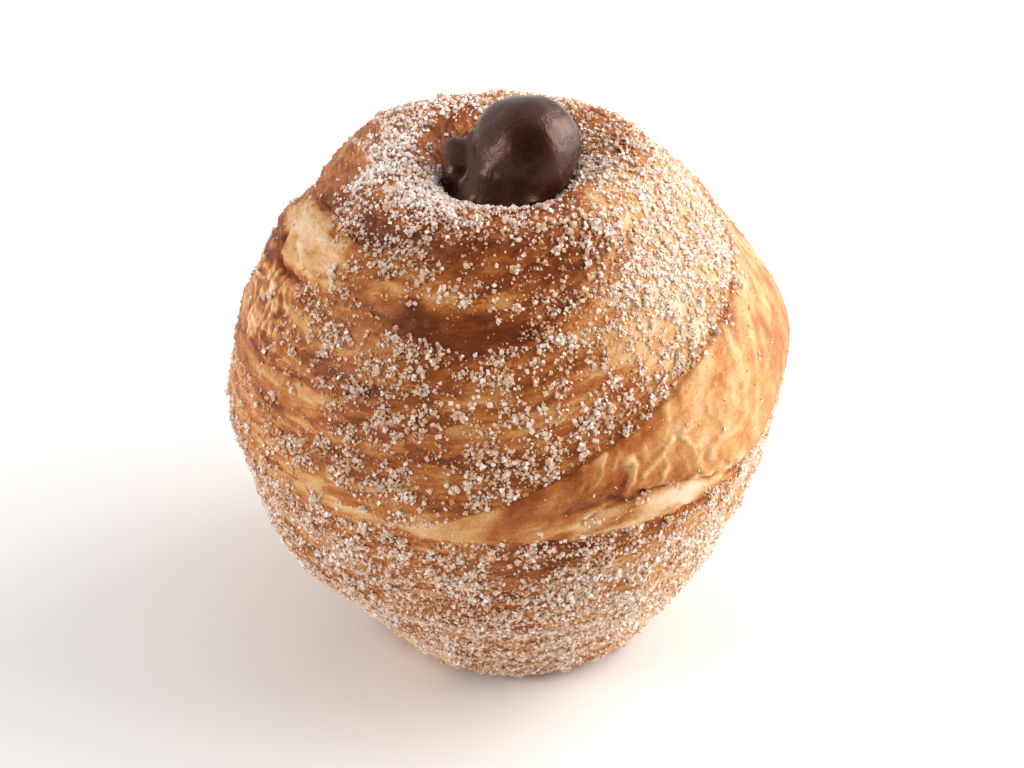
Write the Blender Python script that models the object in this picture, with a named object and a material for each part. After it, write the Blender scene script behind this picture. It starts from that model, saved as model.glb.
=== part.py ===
"""A cruffin: croissant dough wound into a ball in a muffin tin, rolled in sugar and piped with chocolate.

Two pieces: the pastry, one lathe-like body whose wound strips of dough lap over each other like
shingles, with the largest grains of sugar fused on; and the chocolate that wells out of its crown.

A place on the pastry has two coordinates. The turn is the angle round the upright axis, in degrees:
0 at the front (-Y), growing towards +X. The reach is the distance in metres along the profile, out
from the middle of the crown's hollow, over the rim, down the side and in under the base.
"""

import math

import bmesh
import bpy
import numpy as np

MM = 0.001

# Driving dimensions.
WIDTH = 86.6 * MM
HEIGHT = 87 * MM
WIDEST_AT = 47.5 * MM
BASE_RADIUS = 24 * MM
LEAN = 1.6 * MM
CROWN_SHIFT = 0.6 * MM
CROWN_BACK = 1 * MM
HOLLOW_RADIUS = 11 * MM
HOLLOW_DEPTH = 12 * MM
HOLLOW_LEFT = 1.2 * MM
CROWN_RADIUS = 17 * MM
CHOCOLATE_RADIUS = 8.3 * MM
CHOCOLATE_TOP = 96.9 * MM
CLEARANCE = 0.55 * MM

# The mesh of the pastry: columns round the axis and the space between rows down the side.
COLUMNS = 72
ROW_SPACE = 2.5 * MM
HOLLOW_ROWS = 8
BASE_ROWS = 3
HOLLOW_END = 20 * MM
BASE_START = 124 * MM

# Grains of sugar that are large enough to be solid.
GRAINS = 124
GRAIN_SIZE = (1.1 * MM, 1.9 * MM)
GRAIN_SUNK = 0.28
GRAIN_SPACE = 6.5 * MM
SEED = 7
SHARP_ANGLE = math.radians(40)

# Where each lap of dough ends on the lap below it: (turn in degrees, reach in mm, height of the lip in
# mm), rising to the right. A turn past 180 or under -180 goes on round the back. Then how far up the lap
# its lip fades, in mm, and which way the edge faces: 1 for down, and -1 for the upper edge of the tail,
# which was wound on last and lies on top.
LAPS = {
    "tail_bottom": (
        [(-190, 95, 0), (-150, 89, 0.8), (-60, 78, 1), (-14, 72, 0.4), (20, 72, 0.4), (57, 72, 0.8),
         (180, 55, 1.3), (236, 44, 0.7), (262, 40.2, 1.2), (272, 37, 1.4), (284, 35.8, 1.3),
         (298, 34, 0.8), (318, 30, 0.3), (350, 27, 0)],
        14,
        1,
    ),
    "tail_top": (
        [(-20, 70, 0), (-8, 66, 0.3), (18, 58.5, 0.4), (37, 54, 0.4), (54, 50, 0.4), (72, 48, 0.45),
         (125, 47, 0.4), (160, 42, 0.3), (190, 38, 0)],
        9,
        -1,
    ),
    "tail_inner": (
        [(8, 66, 0), (19, 66, 0.45), (31, 65, 0.6), (42, 68, 0.6), (57, 71, 0.3), (66, 72, 0)],
        5,
        1,
    ),
    "shoulder": (
        [(-50, 98, 0), (-20, 96, 0.5), (10, 93, 0.9), (45, 91, 1.2), (170, 70, 1.2), (250, 52, 0.5),
         (262, 48.6, 1), (270, 48, 1.2), (280, 48, 0.9), (300, 43, 0.6), (335, 40, 0.55), (357, 41, 0.45),
         (380, 36, 0.2), (410, 32, 0)],
        11,
        1,
    ),
    "waist": (
        [(-300, 103, 0), (-270, 98, 0.7), (-180, 79, 1), (-100, 66, 0.8), (-69, 60, 1), (-47, 54, 0.8),
         (-20, 49, 0.5), (10, 46, 0.25), (60, 38, 0)],
        10,
        1,
    ),
    "side": ([(-110, 71, 0), (-90, 68, 0.5), (-64, 64, 0.7), (-46, 60, 0.6), (-22, 53, 0)], 7, 1),
    "foot": ([(-80, 112, 0), (-50, 111, 0.5), (40, 108, 0.8), (150, 104, 0.8), (260, 97, 0)], 9, 1),
}

# Broad bulges and flats: the turn and reach (mm) of the middle, the height (mm), the half width in
# degrees and the half height in mm.
BULGES = {
    "crown_left": (-133, 33.4, 3.9, 26, 9),
    "crown_back": (172, 26, -1.1, 32, 10),
    "shoulder_left": (-96, 50, 2.6, 18, 8),
    "belly_left": (-92, 72, 0.9, 30, 16),
    "lower_left": (-54, 97, 1.0, 15, 8),
    "crown_right": (112, 31, 1.4, 30, 7),
    "shoulder_right": (124, 49, 0.8, 14, 8),
    "flat_right": (100, 48, -2.0, 30, 15),
    "side_right": (94, 66, 1.4, 15, 9),
    "lower_right": (72, 86, -2.0, 30, 14),
    "foot_left": (-62, 111, -1.6, 34, 9),
    "foot_right": (50, 108, -1.3, 14, 7),
}
LAP_SMOOTHING = (-8, -4, 0, 4, 8)
# The hollow's shift to the left ends between these reaches, out on the rim.
HOLLOW_SHIFTED = (15 * MM, 27 * MM)
# The relief fades in past the hollow's rim and out towards the flat base: reaches in metres.
RELIEF_IN = (14 * MM, 22 * MM)
RELIEF_OUT = (BASE_START - 8 * MM, BASE_START - MM)

# A lip rises over this many mm, and the crease under it has this share of its height, and this width.
LIP_RISE = 2.6
CREASE_DEPTH = 0.45
CREASE_WIDTH = 2.8

# The chocolate's lobes, in mm from the crown's axis and, upwards, from the middle of the dome: the two
# ends of each round-ended lobe, its radius at each, and how softly it melts into those before it.
LOBES = {
    "dome": ((2.0, 0.7, 0.25), (2.5, 0.5, 0.4), 8.05, 8.05, 0.0),
    "neck": ((2.2, -3.4, -4.6), (-1.2, -3.2, -5.2), 5.7, 6.0, 3.2),
    "fill": ((-2.4, 0.0, -8.6), (1.0, 0.0, -8.6), 8.7, 8.7, 2.0),
    "body": ((-4.6, -6.6, -4.8), (1.2, -8.4, -5.2), 3.2, 3.6, 2.4),
    "fold": ((-5.8, 1.3, 2.1), (-5.1, -3.6, -1.5), 1.0, 1.6, 0.5),
    "curl": ((-8.0, 0.9, -0.3), (-7.8, -1.9, -2.2), 2.1, 2.6, 0.6),
}
LOBE_SUBDIVISIONS = 4
# Where the chocolate could touch the pastry: the hollow and its rim.
RIM_REACHES = np.arange(0, 30, 0.25) * MM
LOBE_CENTRE_DROP = 4.2
FARTHEST = 18.0
HALVINGS = 14


def step(value, low, high):
    """0 below low, 1 above high, and a smooth rise between them."""
    part = np.clip((value - low) / (high - low), 0.0, 1.0)
    return part * part * (3.0 - 2.0 * part)


def profile_points():
    """The outline's few points, from the middle of the hollow out and down to the middle of the base."""
    widest = WIDTH / 2
    floor = HEIGHT - HOLLOW_DEPTH
    return [
        (0.0, floor),
        (0.5 * HOLLOW_RADIUS, floor + 0.5 * MM),
        (0.76 * HOLLOW_RADIUS, floor + 0.3 * HOLLOW_DEPTH),
        (0.87 * HOLLOW_RADIUS, HEIGHT - 0.38 * HOLLOW_DEPTH),
        (1.0 * HOLLOW_RADIUS, HEIGHT - 0.13 * HOLLOW_DEPTH),
        (CROWN_RADIUS - 2.5 * MM, HEIGHT),
        (CROWN_RADIUS + 2.5 * MM, HEIGHT - 1.0 * MM),
        (0.565 * widest, 0.932 * HEIGHT),
        (0.72 * widest, 0.865 * HEIGHT),
        (0.86 * widest, 0.767 * HEIGHT),
        (0.95 * widest, 0.665 * HEIGHT),
        (widest, WIDEST_AT),
        (0.978 * widest, 0.425 * HEIGHT),
        (0.925 * widest, 0.325 * HEIGHT),
        (0.835 * widest, 0.226 * HEIGHT),
        (0.725 * widest, 0.135 * HEIGHT),
        (0.635 * widest, 0.05 * HEIGHT),
        (BASE_RADIUS + 1.2 * MM, 0.9 * MM),
        (BASE_RADIUS - 1.5 * MM, 0.0),
        (0.5 * BASE_RADIUS, 0.0),
        (0.0, 0.0),
    ]


def spline(points, samples=24):
    """A smooth curve through the points: a centripetal Catmull-Rom spline."""
    points = np.array(points)
    points = np.vstack([2 * points[0] - points[1], points, 2 * points[-1] - points[-2]])
    curve = []
    for p0, p1, p2, p3 in zip(points, points[1:], points[2:], points[3:]):
        t1 = math.sqrt(np.linalg.norm(p1 - p0))
        t2 = t1 + math.sqrt(np.linalg.norm(p2 - p1))
        t3 = t2 + math.sqrt(np.linalg.norm(p3 - p2))
        for t in np.linspace(t1, t2, samples, endpoint=False):
            a1 = p0 + (p1 - p0) * t / t1
            a2 = p1 + (p2 - p1) * (t - t1) / (t2 - t1)
            a3 = p2 + (p3 - p2) * (t - t2) / (t3 - t2)
            b1 = a1 + (a2 - a1) * t / t2
            b2 = a2 + (a3 - a2) * (t - t1) / (t3 - t1)
            curve.append(b1 + (b2 - b1) * (t - t1) / (t2 - t1))
    curve.append(points[-2])
    return np.array(curve)


CURVE = spline(profile_points())
CURVE[:, 1] = np.maximum(CURVE[:, 1], 0.0)
REACH = np.concatenate([[0.0], np.cumsum(np.linalg.norm(np.diff(CURVE, axis=0), axis=1))])
END = REACH[-1]


def outline(reach):
    """Radius, height and outward normal (radial, upward) of the plain turned shape."""
    radius = np.interp(reach, REACH, CURVE[:, 0])
    height = np.interp(reach, REACH, CURVE[:, 1])
    ahead = np.clip(reach + MM, 0.0, END)
    behind = np.clip(reach - MM, 0.0, END)
    along_r = np.interp(ahead, REACH, CURVE[:, 0]) - np.interp(behind, REACH, CURVE[:, 0])
    along_z = np.interp(ahead, REACH, CURVE[:, 1]) - np.interp(behind, REACH, CURVE[:, 1])
    length = np.hypot(along_r, along_z)
    return radius, height, -along_z / length, along_r / length


def lap_edges(turn):
    """For each time that a lap passes a turn: its edge's reach, its lip, its width and its side."""
    for points, width, side in LAPS.values():
        turns, reaches, lips = np.array(points, float).T
        for wrap in (-360, 0, 360):
            places = [turn + wrap + shift for shift in LAP_SMOOTHING]
            edge = np.mean([np.interp(at, turns, reaches) for at in places], axis=0)
            lip = np.mean([np.interp(at, turns, lips, 0.0, 0.0) for at in places], axis=0)
            yield edge * MM, lip * MM, width * MM, side


def laps(turn, reach):
    """The shingled strips: each rises to a round lip at its edge, with a crease under it."""
    raised = np.zeros(np.broadcast(turn, reach).shape)
    for edge, lip, width, side in lap_edges(turn):
        above = side * (edge - reach)
        lip_shape = step(above, 0.0, LIP_RISE * MM) * (1 - step(above, LIP_RISE * MM, width))
        crease = np.exp(-np.abs(above) / (CREASE_WIDTH * MM)) * (above < LIP_RISE * MM)
        raised += lip * (lip_shape - CREASE_DEPTH * crease)
    return raised


def swell(turn, reach):
    """The ball's own unevenness: slow waves round it, and the broad bulges and flats."""
    angle = np.radians(turn)
    down = reach / END
    rise = 0.55 * np.sin(2 * angle + 9.0 * down + 0.6)
    rise += 0.35 * np.sin(3 * angle - 14.0 * down + 2.0)
    rise += 0.25 * np.sin(5 * angle + 22.0 * down)
    for at_turn, at_reach, height, wide, tall in BULGES.values():
        round_it = np.abs((turn - at_turn + 180) % 360 - 180) / wide
        along_it = (reach / MM - at_reach) / tall
        rise += height * np.exp(-(round_it**2) - along_it**2)
    return rise * MM


def place(turn, reach):
    """Points on the pastry's surface, with the relief that stops at the hollow and the base."""
    radius, height, out_r, out_z = outline(reach)
    kept = step(reach, *RELIEF_IN) * (1 - step(reach, *RELIEF_OUT))
    rise = kept * (laps(turn, reach) + swell(turn, reach))
    radius = radius + rise * out_r
    height = height + rise * out_z
    angle = np.radians(turn)
    to_right, to_back = lean(height, reach)
    return np.stack([radius * np.sin(angle) + to_right, to_back - radius * np.cos(angle), height], axis=-1)


def lean(height, reach):
    """How far right and back the axis stands: the base is set off under it, and the hollow in the crown."""
    level = height / HEIGHT
    waver = np.sin(2 * math.pi * (level - 0.42)) * step(level, 0.1, 0.35) * (1 - step(level, 0.8, 0.95))
    to_right = 0.9 * MM * waver - LEAN * step(level, 0.0, 0.25) + CROWN_SHIFT * step(level, 0.7, 0.9)
    to_right = to_right - HOLLOW_LEFT * (1 - step(reach, *HOLLOW_SHIFTED))
    return to_right, CROWN_BACK * step(level, 0.7, 0.95)


def sugar_cover(turn, reach):
    """How thickly sugar lies, from 0 to 1: bare on the tail strip, thin on the left side."""
    at = reach / MM
    tail_turns, tail_tops, _ = np.array(LAPS["tail_top"][0], float).T
    tail_top = np.interp(turn, tail_turns, tail_tops)
    on_tail = step(turn, -20, 20) * (1 - step(turn, 120, 160)) * step(at, tail_top, tail_top + 2)
    on_tail = on_tail * (1 - step(at, 71, 75))
    on_left = (1 - step(np.abs(turn + 95), 25, 45)) * (1 - step(np.abs(at - 58), 12, 20))
    outside = step(at, 16, 19) * (1 - step(at, 112, 120))
    cover = 0.75 + 0.25 * np.sin(np.radians(3 * turn) + at / 9)
    return cover * (1 - 0.95 * on_tail) * (1 - 0.9 * on_left) * outside


def material(name, colour, roughness, specular=0.5):
    made = bpy.data.materials.new(name)
    made.use_nodes = True
    shader = made.node_tree.nodes["Principled BSDF"]
    shader.inputs["Base Color"].default_value = (*colour, 1.0)
    shader.inputs["Roughness"].default_value = roughness
    shader.inputs["Metallic"].default_value = 0.0
    shader.inputs["Specular IOR Level"].default_value = specular
    return made


def new_object(name, mesh, collection, finish=None):
    made = bpy.data.objects.new(name, mesh)
    collection.objects.link(made)
    if finish:
        mesh.materials.append(finish)
    return made


def row_reaches():
    """The reach of each row of the mesh, closer in the hollow and wide under the base."""
    side_rows = round((BASE_START - HOLLOW_END) / ROW_SPACE)
    return np.concatenate(
        [
            np.linspace(0.0, HOLLOW_END, HOLLOW_ROWS, endpoint=False),
            np.linspace(HOLLOW_END, BASE_START, side_rows, endpoint=False),
            np.linspace(BASE_START, END, BASE_ROWS + 1),
        ]
    )


def wound_dough():
    """A UV sphere, each of whose rows and columns is moved to its reach and turn on the pastry."""
    rows = row_reaches()
    shape = bmesh.new()
    bmesh.ops.create_uvsphere(shape, u_segments=COLUMNS, v_segments=len(rows) - 1, radius=1.0)
    for vertex in shape.verts:
        polar = math.acos(max(-1.0, min(1.0, vertex.co.z)))
        row = round(polar / math.pi * (len(rows) - 1))
        turn = math.degrees(math.atan2(vertex.co.x, -vertex.co.y))
        vertex.co = place(turn, rows[row])
    bmesh.ops.triangulate(shape, faces=shape.faces)
    bmesh.ops.recalc_face_normals(shape, faces=shape.faces)
    mesh = bpy.data.meshes.new("pastry")
    shape.to_mesh(mesh)
    shape.free()
    return mesh


def grain_places(draw):
    """Turns and reaches for the grains, spaced out, and more of them where the sugar is thick."""
    chosen = []
    points = []
    while len(chosen) < GRAINS:
        turn = draw.uniform(-180, 180)
        reach = draw.uniform(HOLLOW_END, BASE_START)
        radius, height, _, _ = outline(reach)
        if draw.uniform() > sugar_cover(turn, reach) * radius / (WIDTH / 2):
            continue
        angle = math.radians(turn)
        point = np.array([radius * math.sin(angle), -radius * math.cos(angle), height])
        if points and np.min(np.linalg.norm(np.array(points) - point, axis=1)) < GRAIN_SPACE:
            continue
        chosen.append((turn, reach))
        points.append(point)
    return chosen


def grain(name, at, draw, collection):
    """One crystal or clump: a block with its corners pulled about, part sunk in the crust."""
    turn, reach = at
    size = draw.uniform(*GRAIN_SIZE)
    _, _, out_r, out_z = outline(reach)
    angle = math.radians(turn)
    out = np.array([out_r * math.sin(angle), -out_r * math.cos(angle), out_z])
    shape = bmesh.new()
    bmesh.ops.create_cube(shape, size=size)
    for vertex in shape.verts:
        vertex.co *= draw.uniform(0.75, 1.1)
    mesh = bpy.data.meshes.new(name)
    shape.to_mesh(mesh)
    shape.free()
    made = new_object(name, mesh, collection)
    made.rotation_euler = draw.uniform(0.0, math.pi, 3)
    made.location = place(turn, reach) + out * size * (0.5 - GRAIN_SUNK)
    return made


def drop_scraps(mesh):
    """Only the largest of the mesh's loose parts is kept."""
    shape = bmesh.new()
    shape.from_mesh(mesh)
    left = set(shape.verts)
    parts = []
    while left:
        part = {left.pop()}
        edge_of = list(part)
        while edge_of:
            vertex = edge_of.pop()
            linked = {edge.other_vert(vertex) for edge in vertex.link_edges} - part
            part |= linked
            edge_of.extend(linked)
        left -= part
        parts.append(part)
    parts.sort(key=len)
    for part in parts[:-1]:
        bmesh.ops.delete(shape, geom=list(part), context="VERTS")
    shape.to_mesh(mesh)
    shape.free()


def fused(body, pieces):
    """The body as one mesh with every piece of the collection, which is then removed."""
    union = body.modifiers.new("grains", "BOOLEAN")
    union.operation = "UNION"
    union.operand_type = "COLLECTION"
    union.collection = pieces
    union.solver = "MANIFOLD"
    graph = bpy.context.evaluated_depsgraph_get()
    mesh = bpy.data.meshes.new_from_object(body.evaluated_get(graph))
    drop_scraps(mesh)
    body.modifiers.remove(union)
    body.data = mesh
    for piece in list(pieces.objects):
        bpy.data.objects.remove(piece)
    bpy.data.collections.remove(pieces)


def make_pastry(collection):
    crust = material("baked_crust", (0.52, 0.25, 0.08), 0.5)
    pastry = new_object("pastry", wound_dough(), collection, crust)
    grains = bpy.data.collections.new("grains")
    bpy.context.scene.collection.children.link(grains)
    draw = np.random.default_rng(SEED)
    for number, at in enumerate(grain_places(draw)):
        grain(f"grain_{number}", at, draw, grains)
    fused(pastry, grains)
    pastry.data.shade_smooth()
    pastry.data.set_sharp_from_angle(angle=SHARP_ANGLE)
    return pastry


def lobe_distance(point):
    """How far a point, in mm, is outside the melted lobes; it is negative inside them."""
    nearest = None
    for start, end, first, last, softness in LOBES.values():
        start, end = np.array(start), np.array(end)
        run = end - start
        along = np.clip(np.dot(point - start, run) / np.dot(run, run), 0.0, 1.0)
        distance = np.linalg.norm(point - start - along * run) - first - (last - first) * along
        if nearest is None:
            nearest = distance
            continue
        blend = np.clip(0.5 + 0.5 * (nearest - distance) / softness, 0.0, 1.0)
        nearest = nearest + (distance - nearest) * blend - softness * blend * (1.0 - blend)
    return nearest


def lobe_skin(direction):
    """The point, in mm, where a ray from the middle of the chocolate last leaves the lobes."""
    centre = np.array((0.0, 0.0, -LOBE_CENTRE_DROP))
    inside, outside = 0.0, FARTHEST
    while lobe_distance(centre + direction * outside) > 0 and outside > 0.5:
        outside -= 0.5
    inside, outside = outside, outside + 0.5
    for _ in range(HALVINGS):
        middle = 0.5 * (inside + outside)
        if lobe_distance(centre + direction * middle) > 0:
            outside = middle
        else:
            inside = middle
    return centre + direction * inside


def clear_of_pastry(point):
    """The point moved out of the pastry, to the clearance from its hollow and rim."""
    to_right, to_back = lean(point[2], 0.0)
    angle = math.atan2(point[0] - to_right, to_back - point[1])
    skin = place(math.degrees(angle), RIM_REACHES)
    closest = np.argmin(np.linalg.norm(skin - point, axis=1))
    _, _, out_r, out_z = outline(RIM_REACHES[closest])
    out = np.array([out_r * math.sin(angle), -out_r * math.cos(angle), out_z])
    outside = np.dot(point - skin[closest], out)
    return point + out * max(CLEARANCE - outside, 0.0)


def make_chocolate(collection):
    """A ball whose points are moved out to the skin of the lobes, and kept clear of the pastry."""
    shape = bmesh.new()
    bmesh.ops.create_icosphere(shape, subdivisions=LOBE_SUBDIVISIONS, radius=1.0)
    middle = np.array((*lean(HEIGHT, END), CHOCOLATE_TOP - CHOCOLATE_RADIUS))
    for vertex in shape.verts:
        vertex.co = middle + lobe_skin(np.array(vertex.co.normalized())) * MM
    bmesh.ops.smooth_vert(
        shape, verts=shape.verts, factor=0.5, use_axis_x=True, use_axis_y=True, use_axis_z=True
    )
    for vertex in shape.verts:
        vertex.co = clear_of_pastry(np.array(vertex.co))
    bmesh.ops.recalc_face_normals(shape, faces=shape.faces)
    mesh = bpy.data.meshes.new("chocolate")
    shape.to_mesh(mesh)
    shape.free()
    mesh.shade_smooth()
    return new_object("chocolate", mesh, collection, material("chocolate", (0.06, 0.025, 0.018), 0.35))


def clear_scene():
    for old in list(bpy.data.objects):
        bpy.data.objects.remove(old)


def main():
    clear_scene()
    cruffin = bpy.data.collections.new("cruffin")
    bpy.context.scene.collection.children.link(cruffin)
    make_pastry(cruffin)
    make_chocolate(cruffin)


main()
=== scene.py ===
# %% [markdown]
# A cruffin, dressed. The frame holds the plain solids of the pastry and of its chocolate at their real
# size. This lesson gives them what an oven, a bowl of sugar and a piping bag give the real ones: baked
# layers, crystals and a glossy filling. The camera comes first, because it settles how fine each
# detail has to be.

# %% Load the frame
import math

import bmesh
import bpy
import numpy as np
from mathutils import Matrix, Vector


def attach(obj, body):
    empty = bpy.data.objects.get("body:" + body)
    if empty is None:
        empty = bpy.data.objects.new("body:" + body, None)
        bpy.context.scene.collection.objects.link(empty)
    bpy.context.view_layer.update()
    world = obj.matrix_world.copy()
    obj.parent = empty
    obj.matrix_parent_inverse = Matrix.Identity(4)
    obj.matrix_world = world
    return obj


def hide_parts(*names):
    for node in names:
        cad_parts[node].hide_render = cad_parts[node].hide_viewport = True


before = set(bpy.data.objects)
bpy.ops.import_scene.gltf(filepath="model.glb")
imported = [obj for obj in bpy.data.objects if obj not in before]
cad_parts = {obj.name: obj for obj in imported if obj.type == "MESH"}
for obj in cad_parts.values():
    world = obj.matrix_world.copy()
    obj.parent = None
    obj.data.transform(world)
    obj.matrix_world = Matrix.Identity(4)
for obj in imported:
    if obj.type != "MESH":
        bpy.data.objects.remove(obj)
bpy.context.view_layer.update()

MM = 0.001

# %% [markdown]
# ## The camera and the light
#
# The cruffin was photographed from 41 degrees above, with a lens long enough to keep its round form. An
# 85 mm lens on a 36 mm sensor does that from 0.39 m. At that distance a pixel is about 0.16 mm on the
# pastry, so a crystal of sugar is 3 to 5 pixels and has to be real geometry.

# %% Place the camera
SENSOR = 36.0
LENS = 85.0
ELEVATION = math.radians(41)
DISTANCE = 0.394
AIM = Vector((-0.0008, 0.0, 0.043))


def new_object(name, data):
    """An object in the scene that shows this data."""
    made = bpy.data.objects.new(name, data)
    bpy.context.scene.collection.objects.link(made)
    return made


lens = bpy.data.cameras.new("camera")
lens.sensor_width = SENSOR
lens.lens = LENS
lens.clip_start = 0.01
camera = new_object("camera", lens)
camera.location = AIM + Vector((0.0, -math.cos(ELEVATION), math.sin(ELEVATION))) * DISTANCE
camera.rotation_euler = (math.pi / 2 - ELEVATION, 0.0, 0.0)
bpy.context.scene.camera = camera
print("camera at", [round(value, 3) for value in camera.location])

# %% [markdown]
# Food on a white table is lit by big soft sources. Here a white sky fills every side but the camera's,
# where the room is dark, which is what keeps the front of the chocolate deep brown. A broad window low on
# the right makes that side pale, and a narrow one at the left draws the chocolate's small highlight. The
# view transform is the plain one, which keeps a baked crust's warm colours.

# %% Colours, nodes and materials
def linear(code):
    """An sRGB hex colour as linear red, green, blue and alpha."""
    channels = [int(code[place : place + 2], 16) / 255 for place in (1, 3, 5)]
    return (*(c / 12.92 if c <= 0.04045 else ((c + 0.055) / 1.055) ** 2.4 for c in channels), 1.0)


def add_node(tree, kind, settings=None, **links):
    """A shader node of this kind, with its settings. Links are nodes or sockets, or values to be set."""
    node = tree.nodes.new("ShaderNode" + kind)
    for name, value in (settings or {}).items():
        setattr(node, name, value)
    for name, value in links.items():
        name = name.replace("_", " ")
        numbered = name.startswith("in") and name[2:].isdigit()
        found = node.inputs[int(name[2:]) if numbered else name]
        if isinstance(value, bpy.types.Node):
            tree.links.new(next(s for s in value.outputs if s.enabled), found)
        elif isinstance(value, bpy.types.NodeSocket):
            tree.links.new(value, found)
        else:
            found.default_value = value
    return node


def set_stops(ramp, stops):
    """Give a colour ramp its stops: (position, hex colour) pairs."""
    elements = ramp.color_ramp.elements
    while len(elements) < len(stops):
        elements.new(0.5)
    for element, (position, colour) in zip(elements, stops):
        element.position = position
        element.color = linear(colour)


def new_material(name, **values):
    """A material, its tree and its shader, with the values set on the shader's own sockets."""
    made = bpy.data.materials.new(name)
    made.use_nodes = True
    shader = made.node_tree.nodes["Principled BSDF"]
    for socket, value in values.items():
        shader.inputs[socket.replace("_", " ")].default_value = value
    return made, made.node_tree, shader


print("a middle grey, #808080, is", round(linear("#808080")[0], 3), "in linear light")

# %% Lay the floor
FLOOR_SIZE = 6.0


def white_paper():
    """Matt white paper: no gloss to speak of, and a mottling too faint to notice."""
    made, tree, shader = new_material("white_paper", Roughness=0.9, Specular_IOR_Level=0.2)
    coordinates = add_node(tree, "TexCoord")
    mottle = add_node(tree, "TexNoise", Vector=coordinates.outputs["Object"], Scale=6.0)
    ramp = add_node(tree, "ValToRGB", Fac=mottle.outputs["Fac"])
    set_stops(ramp, [(0.0, "#FAF9F8"), (1.0, "#FEFEFD")])
    tree.links.new(ramp.outputs["Color"], shader.inputs["Base Color"])
    return made


floor_mesh = bpy.data.meshes.new("floor")
floor_shape = bmesh.new()
bmesh.ops.create_grid(floor_shape, x_segments=2, y_segments=2, size=FLOOR_SIZE / 2)
floor_shape.to_mesh(floor_mesh)
floor_shape.free()
floor = new_object("floor", floor_mesh)
floor_mesh.materials.append(white_paper())
print("floor:", FLOOR_SIZE, "m across")

# %% Light the sky
# The sky's strength, the share of it that is left behind the camera, and its tint.
SKY = 1.02
DARK_ROOM = 0.05
SKY_TINT = (1.0, 0.985, 0.97, 1.0)

world = bpy.data.worlds.new("studio")
bpy.context.scene.world = world
world.use_nodes = True
sky = world.node_tree
towards_camera = (AIM - camera.location).normalized() * -1
direction = add_node(sky, "TexCoord").outputs["Generated"]
facing = add_node(sky, "VectorMath", {"operation": "DOT_PRODUCT"}, in0=direction, in1=towards_camera)
dimmed = add_node(
    sky,
    "MapRange",
    Value=facing.outputs["Value"],
    From_Min=0.35,
    From_Max=1.0,
    To_Min=SKY,
    To_Max=SKY * DARK_ROOM,
)
sky.links.new(dimmed.outputs["Result"], sky.nodes["Background"].inputs["Strength"])
sky.nodes["Background"].inputs["Color"].default_value = SKY_TINT
bpy.context.scene.view_settings.view_transform = "Standard"
bpy.context.scene.view_settings.look = "None"
print("sky:", SKY, "and behind the camera", round(SKY * DARK_ROOM, 3))

# %% Open the windows
# Where each window stands, its width and height in metres, and its power in watts.
WINDOWS = {
    "window_right": ((0.82, 0.20, 0.43), (0.94, 0.76), 13.0),
    "window_left": ((-0.78, -0.30, 0.38), (0.18, 0.45), 2.9),
}
WINDOW_TINT = (1.0, 0.975, 0.95)
for name, (place, size, power) in WINDOWS.items():
    light = bpy.data.lights.new(name, "AREA")
    light.shape = "RECTANGLE"
    light.size, light.size_y = size
    light.energy = power
    light.color = WINDOW_TINT
    stand = new_object(name, light)
    stand.location = place
    stand.rotation_euler = (AIM - Vector(place)).to_track_quat("-Z", "Y").to_euler()
print("lights:", list(WINDOWS))

# %% [markdown]
# ## The form of the pastry
#
# The solids were made as a turned outline with laps of dough in relief on it, and the fine skin starts
# from the same named sizes, so that it keeps their form. Each place on the pastry has a turn, in degrees
# round from the front, and a reach, in millimetres along the outline from the middle of the hollow.

# %% The pastry's sizes
# In mm: the ball, its foot, how its axis shifts, the hollow in its crown, and where parts of it start.
WIDTH = 86.6
HEIGHT = 87.0
WIDEST_AT = 47.5
BASE_RADIUS = 24.0
LEAN = 1.6
CROWN_SHIFT = 0.6
CROWN_BACK = 1.0
HOLLOW_RADIUS = 11.0
HOLLOW_DEPTH = 12.0
HOLLOW_LEFT = 1.2
CROWN_RADIUS = 17.0
BASE_START = 124.0
HOLLOW_END = 20.0
print("pastry:", WIDTH, "mm across and", HEIGHT, "mm tall")

# %% A smooth curve through a few points
def step(value, low, high):
    """0 below low, 1 above high, and a smooth rise between them."""
    part = np.clip((value - low) / (high - low), 0.0, 1.0)
    return part * part * (3.0 - 2.0 * part)


def outline_points():
    """The outline's few points, from the middle of the hollow out and down to the middle of the base."""
    widest = WIDTH / 2
    deep = HEIGHT - HOLLOW_DEPTH
    return [
        (0.0, deep),
        (0.5 * HOLLOW_RADIUS, deep + 0.5),
        (0.76 * HOLLOW_RADIUS, deep + 0.3 * HOLLOW_DEPTH),
        (0.87 * HOLLOW_RADIUS, HEIGHT - 0.38 * HOLLOW_DEPTH),
        (1.0 * HOLLOW_RADIUS, HEIGHT - 0.13 * HOLLOW_DEPTH),
        (CROWN_RADIUS - 2.5, HEIGHT),
        (CROWN_RADIUS + 2.5, HEIGHT - 1.0),
        (0.565 * widest, 0.932 * HEIGHT),
        (0.72 * widest, 0.865 * HEIGHT),
        (0.86 * widest, 0.767 * HEIGHT),
        (0.95 * widest, 0.665 * HEIGHT),
        (widest, WIDEST_AT),
        (0.978 * widest, 0.425 * HEIGHT),
        (0.925 * widest, 0.325 * HEIGHT),
        (0.835 * widest, 0.226 * HEIGHT),
        (0.725 * widest, 0.135 * HEIGHT),
        (0.635 * widest, 0.05 * HEIGHT),
        (BASE_RADIUS + 1.2, 0.9),
        (BASE_RADIUS - 1.5, 0.0),
        (0.5 * BASE_RADIUS, 0.0),
        (0.0, 0.0),
    ]


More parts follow.
